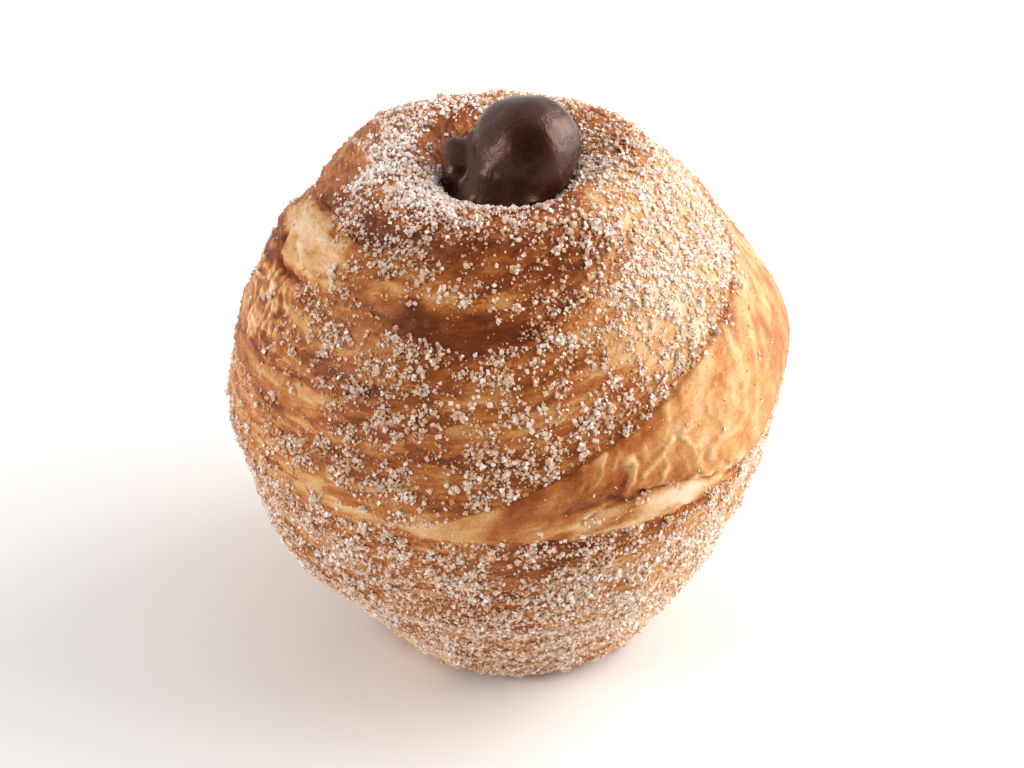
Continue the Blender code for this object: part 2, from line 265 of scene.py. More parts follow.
def spline(points, samples=24):
    """A smooth curve that passes through the points, and that never loops between near ones."""
    points = np.array(points)
    points = np.vstack([2 * points[0] - points[1], points, 2 * points[-1] - points[-2]])
    curve = []
    for p0, p1, p2, p3 in zip(points, points[1:], points[2:], points[3:]):
        t1 = math.sqrt(np.linalg.norm(p1 - p0))
        t2 = t1 + math.sqrt(np.linalg.norm(p2 - p1))
        t3 = t2 + math.sqrt(np.linalg.norm(p3 - p2))
        for t in np.linspace(t1, t2, samples, endpoint=False):
            a1 = p0 + (p1 - p0) * t / t1
            a2 = p1 + (p2 - p1) * (t - t1) / (t2 - t1)
            a3 = p2 + (p3 - p2) * (t - t2) / (t3 - t2)
            b1 = a1 + (a2 - a1) * t / t2
            b2 = a2 + (a3 - a2) * (t - t1) / (t3 - t1)
            curve.append(b1 + (b2 - b1) * (t - t1) / (t2 - t1))
    curve.append(points[-2])
    return np.array(curve)


print("the outline is set by", len(outline_points()), "points")

# %% The turned outline
CURVE = spline(outline_points())
CURVE[:, 1] = np.maximum(CURVE[:, 1], 0.0)
REACH = np.concatenate([[0.0], np.cumsum(np.linalg.norm(np.diff(CURVE, axis=0), axis=1))])
END = REACH[-1]


def outline(reach):
    """Radius, height and outward normal (radial, upward) of the plain turned shape."""
    radius = np.interp(reach, REACH, CURVE[:, 0])
    height = np.interp(reach, REACH, CURVE[:, 1])
    ahead = np.clip(reach + 1.0, 0.0, END)
    behind = np.clip(reach - 1.0, 0.0, END)
    along_r = np.interp(ahead, REACH, CURVE[:, 0]) - np.interp(behind, REACH, CURVE[:, 0])
    along_z = np.interp(ahead, REACH, CURVE[:, 1]) - np.interp(behind, REACH, CURVE[:, 1])
    length = np.hypot(along_r, along_z)
    return radius, height, -along_z / length, along_r / length


def lean(height, reach):
    """How far right and back the axis stands: it shifts at the base and at the hollow in the crown."""
    level = height / HEIGHT
    waver = np.sin(2 * math.pi * (level - 0.42)) * step(level, 0.1, 0.35) * (1 - step(level, 0.8, 0.95))
    to_right = 0.9 * waver - LEAN * step(level, 0.0, 0.25) + CROWN_SHIFT * step(level, 0.7, 0.9)
    to_right = to_right - HOLLOW_LEFT * (1 - step(reach, 15, 27))
    return to_right, CROWN_BACK * step(level, 0.7, 0.95)


print("the outline is", round(END, 1), "mm long, and", round(2 * CURVE[:, 0].max(), 1), "mm across")

# %% [markdown]
# ## Unevenness that follows the dough
#
# Laminated dough was folded, cut and wound, so its lines run round the ball and climb to the right. A
# noise texture laid straight on the ball would run level. This one is a lattice of random values whose
# rows climb a set distance each turn and still meet where they come round.

# %% A noise that is wound round the ball
CLIMB = 46.0


def hashed(i, j, seed):
    """A random number from -1 to 1 for each whole i and j."""
    mixed = (i * 374761393 + j * 668265263 + seed * 974634777) & 0xFFFFFFFF
    mixed = ((mixed ^ (mixed >> 13)) * 1274126177) & 0xFFFFFFFF
    return ((mixed ^ (mixed >> 16)) & 0xFFFFFF) / 0x7FFFFF - 1.0


def wound_noise(turn, reach, cells, width, seed, climb=CLIMB):
    """Smooth noise in cells this many to a turn, each width mm across, on rows that climb this many mm."""
    twist = round(climb / width)
    share = (turn + 180.0) / 360.0
    across = share * cells
    along = reach / width + twist * share
    i, j = np.floor(across).astype(np.int64), np.floor(along).astype(np.int64)
    u, v = across - i, along - j
    u, v = u * u * (3 - 2 * u), v * v * (3 - 2 * v)
    total = 0.0
    for di, weight_u in ((0, 1 - u), (1, u)):
        laps_round = (i + di) // cells
        column = (i + di) - laps_round * cells
        row = j - laps_round * twist
        for dj, weight_v in ((0, 1 - v), (1, v)):
            total = total + weight_u * weight_v * hashed(column, row + dj, seed)
    return total


def rich_noise(turn, reach, cells, width, seed, octaves=3, climb=CLIMB):
    """Wound noise with finer noise on it, each half as large and half as strong."""
    total = 0.0
    for octave in range(octaves):
        scale = 2**octave
        finer = wound_noise(turn, reach, cells * scale, width / scale, seed + 31 * octave, climb)
        total = total + finer / scale
    return total / (2 - 0.5 ** (octaves - 1))


sample_turns = np.linspace(-180, 180, 2000, endpoint=False)
sample = rich_noise(sample_turns, 60.0 + 0 * sample_turns, 26, 2.0, 5)
print("noise from", round(float(sample.min()), 2), "to", round(float(sample.max()), 2))

# %% [markdown]
# ## Laps of dough
#
# Each strip of dough ends on the one below it. Its edge is a round lip that overhangs a dark crease, and
# there are seven such edges. On the solid they are soft steps. Here they are sharp, a little ragged,
# and the lip is pushed out over the crease, so that it throws a real shadow.

# %% Where each lap ends
# Where each lap ends on the one below: (turn, reach, lip height) points, rising to the right. Then how far
# up the lip fades, how ragged its edge is and how softly it is rounded, all in mm, and which way it faces:
# 1 for a lower edge, and -1 for the upper edge of the tail, which was wound on last and lies on top.
LAPS = {
    "tail_bottom": (
        [
            (-190, 95, 0.0), (-150, 89, 0.8), (-60, 78, 1.0), (-14, 72, 0.4), (20, 72, 0.4),
            (57, 72, 0.8), (180, 55, 1.3), (236, 44, 0.7), (262, 40.2, 1.2), (272, 37, 1.4),
            (284, 35.8, 1.3), (298, 34, 0.8), (318, 30, 0.3), (350, 27, 0.0),
        ],
        14, 0.5, 1.0, 1,
    ),
    "tail_top": (
        [
            (-20, 70, 0.0), (-8, 66, 0.3), (18, 58.5, 0.4), (37, 54, 0.4), (54, 50, 0.4),
            (72, 48, 0.45), (125, 47, 0.4), (160, 42, 0.3), (190, 38, 0.0),
        ],
        9, 0.25, 0.9, -1,
    ),
    "tail_inner": (
        [
            (8, 66, 0.0), (19, 66, 0.45), (31, 65, 0.6), (42, 68, 0.6), (57, 71, 0.3),
            (66, 72, 0.0),
        ],
        5, 0.9, 0.8, 1,
    ),
    "shoulder": (
        [
            (-50, 98, 0.0), (-20, 96, 0.5), (10, 93, 0.9), (45, 91, 1.2), (170, 70, 1.2),
            (250, 52, 0.5), (262, 48.6, 1.0), (270, 48, 1.2), (280, 48, 0.9), (300, 43, 0.6),
            (335, 40, 0.55), (357, 41, 0.45), (380, 36, 0.2), (410, 32, 0.0),
        ],
        11, 0.5, 1.9, 1,
    ),
    "waist": (
        [
            (-300, 103, 0.0), (-270, 98, 0.7), (-180, 79, 1.0), (-100, 66, 0.8), (-69, 60, 1.0),
            (-47, 54, 0.8), (-20, 49, 0.5), (10, 46, 0.25), (60, 38, 0.0),
        ],
        10, 0.5, 1.5, 1,
    ),
    "side": (
        [
            (-110, 71, 0.0), (-90, 68, 0.5), (-64, 64, 0.7), (-46, 60, 0.6), (-22, 53, 0.0),
        ],
        7, 0.4, 1.0, 1,
    ),
    "foot": (
        [
            (-80, 112, 0.0), (-50, 111, 0.5), (40, 108, 0.8), (150, 104, 0.8), (260, 97, 0.0),
        ],
        9, 0.8, 1.2, 1,
    ),
}
print(len(LAPS), "laps")

# %% Lips and creases
# How far round, in degrees, an edge's corners are smoothed; the rest is in mm and in shares of the lip.
LAP_SMOOTHING = (-8, -4, 0, 4, 8)
CREASE_DEPTH = 0.35
CREASE_WIDTH = 0.7
OVERHANG = 0.5


def bell(distance):
    """1 at no distance, falling smoothly to nearly 0 at twice the unit distance."""
    return np.exp(-(distance**2))


def smoothed(turn, turns, values, *ends):
    """A value that changes with the turn, with its corners rounded off."""
    return np.mean([np.interp(turn + shift, turns, values, *ends) for shift in LAP_SMOOTHING], axis=0)


def lap_edge(name, turn):
    """The reach of a lap's torn edge where it passes a turn."""
    points, _, ragged, _, _ = LAPS[name]
    turns, reaches, _ = np.array(points, float).T
    number = list(LAPS).index(name)
    tear = wound_noise(turn, 0.0 * turn, 90, 1.0, 11 + number, 0.0)
    tear = tear + 0.6 * wound_noise(turn, 0.0 * turn, 240, 1.0, 41 + number, 0.0)
    return smoothed(turn, turns, reaches) + ragged * tear


def lap_edges(turn):
    """For each time that a lap passes a turn: its edge's reach, its lip's height and its other values."""
    for name, (points, width, _, soft, side) in LAPS.items():
        turns, _, lips = np.array(points, float).T
        for wrap in (-360, 0, 360):
            lip = smoothed(turn + wrap, turns, lips, 0.0, 0.0)
            yield lap_edge(name, turn + wrap), lip, width, soft, side


def laps(turn, reach):
    """How far the laps raise the skin, how far they push it over a crease, and how deep in one it is,
    which sets the painted shade there.
    """
    raised, pushed, crease_shade = 0.0, 0.0, 0.0
    for edge, lip, width, soft, side in lap_edges(turn):
        above = side * (edge - reach)
        fade = 1 - step(above, soft, width)
        crease = bell((above + 0.3 * CREASE_WIDTH) / CREASE_WIDTH) / max(soft, 1.0)
        raised = raised + lip * (step(above, 0.0, soft) * fade - CREASE_DEPTH * crease)
        on_lip = step(above, 0.1, soft) * (1 - step(above, soft, 5.0))
        pushed = pushed + side * lip * OVERHANG / soft * on_lip
        crease_shade = np.maximum(crease_shade, np.minimum(lip, 1.0) * crease)
    return raised, pushed, crease_shade


front = np.zeros(1200), np.linspace(HOLLOW_END, BASE_START, 1200)
print("at the front the laps stand up to", round(float(laps(*front)[0].max()), 2), "mm high")

# %% Waves and bulges
# Slow waves: height in mm, how many go round, and how far they twist and where they start, in radians.
WAVES = [(0.55, 2, 9.0, 0.6), (0.35, 3, -14.0, 2.0), (0.25, 5, 22.0, 0.0)]
# The turn and reach of each bulge's middle, its height, its width in degrees and its length in mm.
BULGES = {
    "crown_left": (-133, 33.4, 3.9, 26, 9),
    "crown_back": (172, 26, -1.1, 32, 10),
    "shoulder_left": (-96, 50, 2.6, 18, 8),
    "belly_left": (-92, 72, 0.9, 30, 16),
    "lower_left": (-54, 97, 1.0, 15, 8),
    "crown_right": (112, 31, 1.4, 30, 7),
    "shoulder_right": (124, 49, 0.8, 14, 8),
    "flat_right": (100, 48, -2.0, 30, 15),
    "side_right": (94, 66, 1.4, 15, 9),
    "lower_right": (72, 86, -2.0, 30, 14),
    "foot_left": (-62, 111, -1.6, 34, 9),
    "foot_right": (50, 108, -1.3, 14, 7),
}


def turned_from(turn, at_turn):
    """How many degrees one turn is from another, the short way round."""
    return np.abs((turn - at_turn + 180) % 360 - 180)


def swell(turn, reach):
    """The ball's own unevenness: slow waves round it, and the broad bulges and flats, in mm."""
    angle = np.radians(turn)
    down = reach / END
    rise = 0.0
    for height, count, twist, start in WAVES:
        rise = rise + height * np.sin(count * angle + twist * down + start)
    for at_turn, at_reach, height, wide, tall in BULGES.values():
        round_it = turned_from(turn, at_turn) / wide
        along_it = (reach - at_reach) / tall
        rise = rise + height * np.exp(-(round_it**2) - along_it**2)
    return rise


print(len(BULGES), "bulges; the crown's left swells by", round(float(swell(-133.0, 33.4)), 1), "mm")

# %% [markdown]
# ## Regions of the crust
#
# The strips aren't alike. The tail of the dough, wound on last, is a smooth tapering strip with no sugar
# and a few wrinkles across it. Other patches are pale where another strip covered them in the oven, or
# nearly burnt where they stood proud. A patch is a soft oval, and its strength is 1 at its middle.

# %% Masks for the regions
# One degree of turn in mm, where the ball is widest.
SIDE_LENGTH = math.pi / 360 * WIDTH
# The net at the left, the combed film above it, the smooth dark sheet at the front and the bald foot, each
# with the turn and reach of its middle, its half width in degrees and its half height in mm.
WEBBED = (-80, 54, 20, 7)
COMBED = (-76, 40.8, 18, 4.5)
SMOOTH_SHEET = (-16, 39, 26, 3.6)
BALD = (-37, 117, 16, 7)


def patch(turn, reach, at_turn, at_reach, half_turn, half_reach):
    """1 in the middle of an oval on the skin, fading to 0 outside it."""
    round_it = turned_from(turn, at_turn) / half_turn
    along_it = np.abs(reach - at_reach) / half_reach
    return 1 - step(np.hypot(round_it, along_it), 0.6, 1.25)


def run_distance(turn, reach, points):
    """How far each place is, in mm on the skin, from a short run of (turn, reach) points."""
    x, y = turn * SIDE_LENGTH, reach
    nearest = np.full(np.shape(turn), 1e3)
    for (turn_a, y_a), (turn_b, y_b) in zip(points, points[1:]):
        x_a, along_x, along_y = turn_a * SIDE_LENGTH, (turn_b - turn_a) * SIDE_LENGTH, y_b - y_a
        part = ((x - x_a) * along_x + (y - y_a) * along_y) / (along_x**2 + along_y**2)
        part = np.clip(part, 0.0, 1.0)
        nearest = np.minimum(nearest, np.hypot(x - x_a - part * along_x, y - y_a - part * along_y))
    return nearest


def tail_strip(turn, reach):
    """1 on the smooth outer strip: between the lap over it and the lap it makes."""
    turns, tops, _ = np.array(LAPS["tail_top"][0], float).T
    top = smoothed(turn, turns, tops)
    bottom = np.interp(turn, [-14, 57, 180], [72, 72, 55])
    along = step(turn, -19, -8) * (1 - step(turn, 130, 165))
    return along * step(reach, top - 0.3, top + 0.6) * (1 - step(reach, bottom - 0.4, bottom + 0.6))


print("one degree round the widest place is", round(SIDE_LENGTH, 2), "mm")

# %% [markdown]
# ## Layers, wrinkles and webs
#
# Flaky crust is a stack of thin sheets. Low down, their edges show as shingles: each layer swells
# towards its lower edge and drops to the next. Elsewhere the film has blistered. The tail strip shrank as
# it cooled, and its skin stands up in narrow branching folds. A narrow ridge like that is where a smooth
# noise passes through zero. The bulge at the left has cracked into a net of the same kind, but finer.

# %% Layers
# The height of a layer, and how far its lower edge stands up, in mm.
LAYER_SPACE = 1.65
SHINGLE = 0.34


def shingles(turn, reach):
    """0 at the upper edge of each thin layer, rising to 1 at its lower edge, and how strongly it shows."""
    drift = 1.1 * rich_noise(turn, reach, 26, 6.0, 17, 3)
    rows = round(CLIMB / LAYER_SPACE)
    phase = rows * (turn + 180) / 360 + reach * rows / CLIMB + drift
    rise = phase - np.floor(phase)
    strength = step(rich_noise(turn, reach, 34, 4.0, 23, 2), -0.35, 0.45)
    low = 0.35 + 0.65 * step(reach, 66, 80)
    return (rise - step(rise, 0.78, 1.0)) * strength * low


print("one turn of dough is", round(CLIMB / LAYER_SPACE), "layers")

# %% Folds in the tail
# The height of the fine folds, in mm.
FOLD = 0.20


def ridge(noise, sharpness):
    """A narrow crest wherever a noise passes through zero."""
    return np.clip(1 - np.abs(noise) * sharpness, 0.0, 1.0) ** 1.5


# The tail's main folds: (turn, reach) points from top to bottom, height and half width in mm.
FOLDS = {
    "first": ([(20, 57.5), (20.6, 58.5), (18.6, 60), (17.4, 62.2)], 0.50, 0.34),
    "second": ([(26, 60.2), (26.4, 61.5), (24.6, 63.5), (23.4, 64.8)], 0.75, 0.50),
    "third": ([(37.4, 60), (33.7, 60.8), (31.4, 62), (28.1, 63.2)], 0.55, 0.42),
    "fourth": ([(33.4, 61.8), (33.7, 63.5), (31.7, 64.4)], 0.35, 0.32),
    "fifth": ([(41.9, 59.3), (39.9, 60), (40.9, 61.8)], 0.45, 0.38),
    "sixth": ([(41.9, 62.5), (41.9, 64.5), (38.7, 65)], 0.35, 0.36),
    "seventh": ([(54.2, 65.2), (47.9, 64.2), (44.7, 65.5)], 0.35, 0.45),
    "eighth": ([(15.6, 59.8), (14.9, 61), (13.9, 63.2)], 0.28, 0.34),
    "ninth": ([(23.4, 59), (21.6, 61.2)], 0.25, 0.32),
    "outer": ([(62, 50), (61, 58), (58, 64)], 0.30, 0.90),
}


def soft_lines(turn, reach, lines):
    """The sum of soft lines: each follows its own points, with its own height and half width."""
    total = 0.0
    for points, height, half_width in lines.values():
        total = total + height * bell(run_distance(turn, reach, points) / half_width)
    return total


def folds(turn, reach):
    """The tail's folds: the main ones by name, and between them a few finer ones that climb across it."""
    bent = turn + 1.6 * rich_noise(turn, reach, 120, 2.6, 31, 2, 200.0)
    total = soft_lines(bent, reach, FOLDS)
    bent = bent + 3.0 * rich_noise(turn, reach, 60, 4.0, 32, 2, 60.0)
    fine = ridge(rich_noise(bent, reach, 56, 5.0, 29, 2, 220.0), 3.6)
    flat = ridge(rich_noise(bent, reach, 26, 3.2, 33, 2, 120.0), 4.0)
    steep = step(turn, 4, 16)
    gentle = 1 - 0.75 * step(turn, 50, 70)
    return total + FOLD * (0.6 * flat * (1 - steep) + fine * steep) * gentle


print(len(FOLDS), "main folds, the highest", max(height for _, height, _ in FOLDS.values()), "mm")

# %% The net and the cracks
def net(turn, reach):
    """A net of narrow ridges, as on crust that cracked while it rose."""
    bent = turn + 3.0 * rich_noise(turn, reach, 90, 3.0, 39, 2)
    return ridge(rich_noise(bent, reach, 130, 2.3, 37, 2, 20.0), 3.0)


# Cracks in the left side and under the tail: (turn, reach) points, depth and half width in mm.
CRACKS = {
    "groove": ([(-88, 45), (-85, 47), (-80, 48), (-75.7, 47), (-71.4, 46.2)], 1.00, 0.50),
    "strip_side": ([(-86, 43.6), (-80, 44), (-75, 43.8)], 0.35, 0.40),
    "under_tail": ([(14, 68.6), (19, 67.1), (31, 65.9), (43, 68.8), (56, 71.8)], 0.50, 0.32),
    "tear": ([(-77, 37.4), (-72.5, 37.6), (-68, 36.4)], 0.60, 0.80),
    "sheet_side": ([(-63, 28.5), (-61.5, 30), (-55, 31.8)], 0.30, 0.40),
    "upper": ([(-66.4, 65.2), (-60.7, 64)], 0.35, 0.28),
    "middle": ([(-58.4, 67.2), (-53.9, 66.2)], 0.35, 0.28),
    "lower": ([(-56, 71.8), (-53, 72.4)], 0.30, 0.28),
}


def cracked(turn, reach):
    """How deep the cracks cut, in mm."""
    bent = turn + 1.2 * rich_noise(turn, reach, 160, 1.8, 47, 2)
    return soft_lines(bent, reach, CRACKS)


print(len(CRACKS), "cracks, the deepest", max(depth for _, depth, _ in CRACKS.values()), "mm")

# %% All the relief on the skin
# How high blisters, the net's ridges and the film's fibres stand, in mm.
BLISTER = 0.16
NET = 0.3
COMB = 0.22


def fine_relief(turn, reach):
    """Everything finer than the laps, in mm."""
    tail = tail_strip(turn, reach)
    webbed = patch(turn, reach, *WEBBED)
    combed = patch(turn, reach, *COMBED)
    bald = patch(turn, reach, *BALD)
    rough = (1 - tail) * (1 - 0.7 * webbed) * (1 - 0.8 * combed) * (1 - bald)
    rise = rough * SHINGLE * shingles(turn, reach)
    rise = rise + rough * BLISTER * rich_noise(turn, reach, 90, 2.6, 3)
    rise = rise + 0.14 * tail * rich_noise(turn, reach, 60, 3.0, 53, 3, 200.0)
    rise = rise + NET * webbed * (net(turn, reach) - 0.3)
    rise = rise + COMB * combed * wound_noise(turn, reach, 30, 1.2, 43)
    rise = rise - cracked(turn, reach)
    return rise + 0.05 * (1 - bald) * rich_noise(turn, reach, 220, 1.0, 61, 2)


def place(turn, reach):
    """Points on the dressed pastry's skin, in mm."""
    radius, height, out_r, out_z = outline(reach)
    kept = step(reach, 14, 22) * (1 - step(reach, BASE_START - 8, BASE_START - 1))
    fine_kept = step(reach, 6, 14) * (1 - step(reach, BASE_START - 4, BASE_START))
    raised, pushed, _ = laps(turn, reach)
    rise = kept * (raised + swell(turn, reach)) + fine_kept * fine_relief(turn, reach)
    push = kept * pushed
    radius = radius + rise * out_r + push * out_z
    height = height + rise * out_z - push * out_r
    height = np.maximum(height, 0.0)
    angle = np.radians(turn)
    to_right, to_back = lean(height, reach)
    return np.stack([radius * np.sin(angle) + to_right, to_back - radius * np.cos(angle), height], axis=-1)


def skin_frames(turn, reach):
    """Points on the skin and the skin's outward normals there."""
    small = 0.25
    points = place(turn, reach)
    round_it = place(turn + small, reach) - place(turn - small, reach)
    down_it = place(turn, reach + small) - place(turn, reach - small)
    out = np.cross(down_it, round_it)
    return points, out / np.linalg.norm(out, axis=1, keepdims=True)


print("a point on the tail strip, in mm:", np.round(place(np.array([40.0]), np.array([60.0]))[0], 1))

# %% [markdown]
# ## How brown, with painted shade and light
#
# Baking runs from cream through gold to caramel, and every place on the crust is somewhere on that scale.
# The skin carries it as an attribute called toast. High sheets and lips took more heat than
# hollows, and the regions seen in the photo are set by name. The same scale also carries painted shade in
# creases, cracks and under a fold by the groove, and painted light low on the right.

# %% The regions that are paler or browner
# The turn and reach of the middle, the half width in degrees, the half height in mm, and the change. Some
# patches are painted shade or painted light, and are named so.
TOAST_AND_SHADING = {
    "left": (-78, 62, 44, 22, -0.07),
    "dark_sheet": (-17, 39.5, 27, 3.6, 0.25),
    "dark_band": (18, 34, 26, 4, 0.10),
    "caramel_turn": (-60, 30.5, 13, 3.2, 0.24),
    "crown_side": (-104, 34, 26, 5, 0.04),
    "rim_front": (5, 17, 60, 5, 0.18),
    "stain": (40, 20, 20, 3, 0.16),
    "hollow_left": (-125, 19, 42, 4, 0.08),
    "behind_groove": (-92, 48, 7, 4, 0.14),
    # Painted shade under the fold over the groove.
    "under_groove": (-65, 46, 6, 1.6, 0.18),
    "waist_line": (-46, 52, 24, 1.6, 0.12),
    "front_top": (-4, 28, 42, 5, 0.19),
    "low_seam": (28, 93, 24, 2.5, 0.16),
    # Painted light: the lower right is made paler where the right window falls on it.
    "low_right": (44, 89, 34, 17, -0.24),
    "gold_right": (42, 40, 24, 9, -0.18),
    "behind": (165, 60, 40, 12, 0.08),
    "pale_top_left": (-94, 43, 8, 3, -0.26),
    "pale_neighbour": (-38, 38.5, 7, 2.5, -0.30),
    "pale_neighbour_right": (-21, 36.5, 8, 2, -0.20),
    "pale_crown": (66, 24, 26, 8, -0.24),
    # Partly paler crust, partly painted light from the right window.
    "pale_right": (80, 46, 46, 18, -0.28),
    "pale_tip": (-12, 70.5, 9, 2.5, -0.28),
    "pale_foot": (30, 106, 30, 7, -0.16),
    "pale_base": (-37, 116, 18, 8, -0.40),
    "gold_left": (-54, 60, 16, 4, -0.06),
    "gold_band": (-30, 69, 20, 3.5, -0.14),
    "gold_front": (6, 50, 22, 6, -0.08),
    "pale_behind": (-160, 88, 36, 10, -0.14),
}
# The film that a torn edge in the crown has laid bare is nearly white.
PALE_COMB = (-76, 40.2, 19, 5.4, -0.36)
# The lower layer of the tail, which shows under the edge of the upper one, is paler.
UNDER_TAIL = (30, 69.4, 26, 2.8, -0.26)
# How brown the tail is, from its tip round to where it goes under: (turn, toast) pairs.
TAIL_TOAST = [
    (-19, 0.36), (-6, 0.50), (8, 0.60), (18, 0.58), (34, 0.53),
    (50, 0.45), (66, 0.44), (90, 0.49), (170, 0.50),
]
print(len(TOAST_AND_SHADING), "regions of their own shade")

# %% Toast and painted shading
# How brown plain crust is, and how much layers, lips and the net change that, and how much painted shade
# darkens creases and cracks.
PLAIN_TOAST = 0.60
LAYER_TOAST = 0.14
LIP_TOAST = 0.12
CREASE_SHADE = 0.34
CRACK_SHADE = 0.5
NET_TOAST = 0.6


def toast(turn, reach):
    """How brown the crust is, from 0, cream, to 1, dark caramel, with painted shade and painted light in
    it.
    """
    tail = tail_strip(turn, reach)
    webbed = patch(turn, reach, *WEBBED)
    plain = (1 - tail) * (1 - webbed)
    brown = PLAIN_TOAST + 0.08 * rich_noise(turn, reach, 16, 9.0, 71, 2)
    brown = brown + plain * 0.13 * rich_noise(turn, reach, 40, 1.6, 73, 3, 2 * CLIMB)
    brown = brown + plain * LAYER_TOAST * shingles(turn, reach)
    brown = brown - NET_TOAST * webbed * (net(turn, reach) - 0.3)
    turns, browns = np.array(TAIL_TOAST).T
    tail_brown = np.interp(turn, turns, browns) + 0.12 * rich_noise(turn, reach, 44, 5.0, 79, 2, 300.0)
    tail_brown = tail_brown + 0.22 * rich_noise(turn, reach, 96, 2.6, 80, 3, 120.0)
    for *oval, change in TOAST_AND_SHADING.values():
        brown = brown + change * patch(turn, reach, *oval)
    laid_bare = step(reach - lap_edge("tail_bottom", turn + 360), -0.1, 0.25)
    *oval, change = PALE_COMB
    brown = brown + change * laid_bare * patch(turn, reach, *oval)
    *oval, change = UNDER_TAIL
    flaked = change + 0.4 * rich_noise(turn, reach, 44, 0.9, 81, 3)
    brown = brown + tail * (tail_brown - brown) + flaked * patch(turn, reach, *oval)
    for edge, lip, width, soft, side in lap_edges(turn):
        above = side * (edge - reach)
        proud = step(above, -0.4, 0.6) * (1 - step(above, 1.0, 4.0))
        brown = brown + LIP_TOAST * np.minimum(lip, 1.0) * proud
    # Painted shade: the creases and cracks are darkened.
    brown = brown + CREASE_SHADE * laps(turn, reach)[2] + CRACK_SHADE * cracked(turn, reach)
    inside = 1 - step(reach, 13, 18)
    return np.clip(brown * (1 - inside) + 0.5 * inside, 0.05, 0.88)


print("toast on the dark sheet:", np.round(toast(np.array([-18.0]), np.array([39.0])), 2))

# %% [markdown]
# ## The crust's skin
#
# The mesh is a net of columns round the ball and rows down its side. Rows are 0.44 mm apart, because the
# layers are fine across the strips, and columns 0.8 mm, because they run long along them.

# %% A closed net of rows and columns
COLUMNS = 336
ROW_SPACE = 0.44
INNER_ROW_SPACE = 0.8
UNDER_ROWS = 10


def skin_rows():
    """The reach of each row between the two poles, in mm."""
    inner = np.arange(INNER_ROW_SPACE, HOLLOW_END, INNER_ROW_SPACE)
    side = np.arange(HOLLOW_END, BASE_START, ROW_SPACE)
    under = np.linspace(BASE_START, END, UNDER_ROWS, endpoint=False)
    return np.concatenate([inner, side, under])


def new_mesh(name, points, faces):
    """A mesh from points in mm and, for each face, the numbers of the points round it."""
    made = bpy.data.meshes.new(name)
    made.from_pydata((points * MM).tolist(), [], faces)
    made.update()
    return made


def net_mesh(name, points, top, bottom):
    """A closed mesh from rows of points and the points at its two poles."""
    rows, columns, _ = points.shape
    corner = np.arange(rows * columns).reshape(rows, columns)
    after = np.roll(corner, -1, axis=1)
    quads = np.stack([corner[:-1], corner[1:], after[1:], after[:-1]], axis=-1).reshape(-1, 4)
    first, last = rows * columns, rows * columns + 1
    caps = [(first, int(a), int(b)) for a, b in zip(corner[0], after[0])]
    caps += [(last, int(b), int(a)) for a, b in zip(corner[-1], after[-1])]
    return new_mesh(name, np.vstack([points.reshape(-1, 3), top, bottom]), quads.tolist() + caps)


print(len(skin_rows()), "rows of", COLUMNS, "columns")

# %% Pieces, and what their skins carry
def new_piece(name, mesh, material):
    """An object that is part of the cruffin, so it rides on its one body."""
    made = new_object(name, mesh)
    mesh.materials.append(material)
    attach(made, "root")
    return made


def write_attribute(mesh, name, values, domain="POINT"):
    """One number for each vertex or face corner, for the material to read."""
    made = mesh.attributes.new(name, "FLOAT", domain)
    made.data.foreach_set("value", np.asarray(values, np.float32).ravel())


def write_strip_places(mesh, turn, reach, columns=0):
    """Each face corner's place along and across its strip, in mm. A closed net gives its columns."""
    corner = np.empty(len(mesh.loops), np.int32)
    mesh.loops.foreach_get("vertex_index", corner)
    turn, reach = turn.ravel()[corner], reach.ravel()[corner]
    if columns:
        sizes = np.empty(len(mesh.polygons), np.int32)
        mesh.polygons.foreach_get("loop_total", sizes)
        face_of = np.repeat(np.arange(len(sizes)), sizes)
        on_side = face_of < (corner.max() - 1) // columns * columns
        last_column = on_side & (face_of % columns == columns - 1)
        turn = np.where(last_column & (corner % columns == 0), turn + 360, turn)
    write_attribute(mesh, "along", turn * SIDE_LENGTH, "CORNER")
    write_attribute(mesh, "across", reach + CLIMB * turn / 360, "CORNER")


# How brown the skin is at the middle of the hollow and at the middle of the base.
POLE_TOAST = [0.55, 0.3]


def crust_mesh():
    """The pastry's skin, with how brown each point of it is, painted shade and light included, and how
    smooth.
    """
    turns = np.linspace(-180, 180, COLUMNS, endpoint=False)
    rows = skin_rows()
    turn, reach = np.meshgrid(turns, rows)
    points = place(turn, reach)
    top = place(np.array([0.0]), np.array([0.0]))
    bottom = place(np.array([0.0]), np.array([END]))
    made = net_mesh("pastry_crust", points, top, bottom)
    write_attribute(made, "toast", np.append(toast(turn, reach).ravel(), POLE_TOAST))
    seam = 1 - step(180 - np.abs(turn), 2, 9)
    sheet = 0.8 * patch(turn, reach, *SMOOTH_SHEET)
    comb = 0.2 * patch(turn, reach, *COMBED)
    smooth = np.maximum.reduce([tail_strip(turn, reach), seam, sheet, comb])
    write_attribute(made, "smooth_strip", np.append(smooth.ravel(), [1.0, 1.0]))
    write_strip_places(made, np.append(turn.ravel(), [0, 0]), np.append(reach.ravel(), [0, END]), COLUMNS)
    made.shade_smooth()
    return made


print("a face of the skin is about", round(math.pi * WIDTH / COLUMNS, 2), "by", ROW_SPACE, "mm")

# %% [markdown]
# Baked croissant dough is a thin film of browned starch and butter over pale crumb. It is neither matt
# nor glossy: butter gives it a soft sheen, more on the smooth strip, and a refractive index near 1.45.
# The finest texture, pores and blisters under half a millimetre, is left to bump.

# %% From cream to caramel
BAKING = [
    (0.04, "#F2D6B8"),
    (0.22, "#E6BA8B"),
    (0.40, "#D29A5C"),
    (0.56, "#B96D35"),
    (0.72, "#934D20"),
    (0.86, "#763816"),
    (1.00, "#572A10"),
]


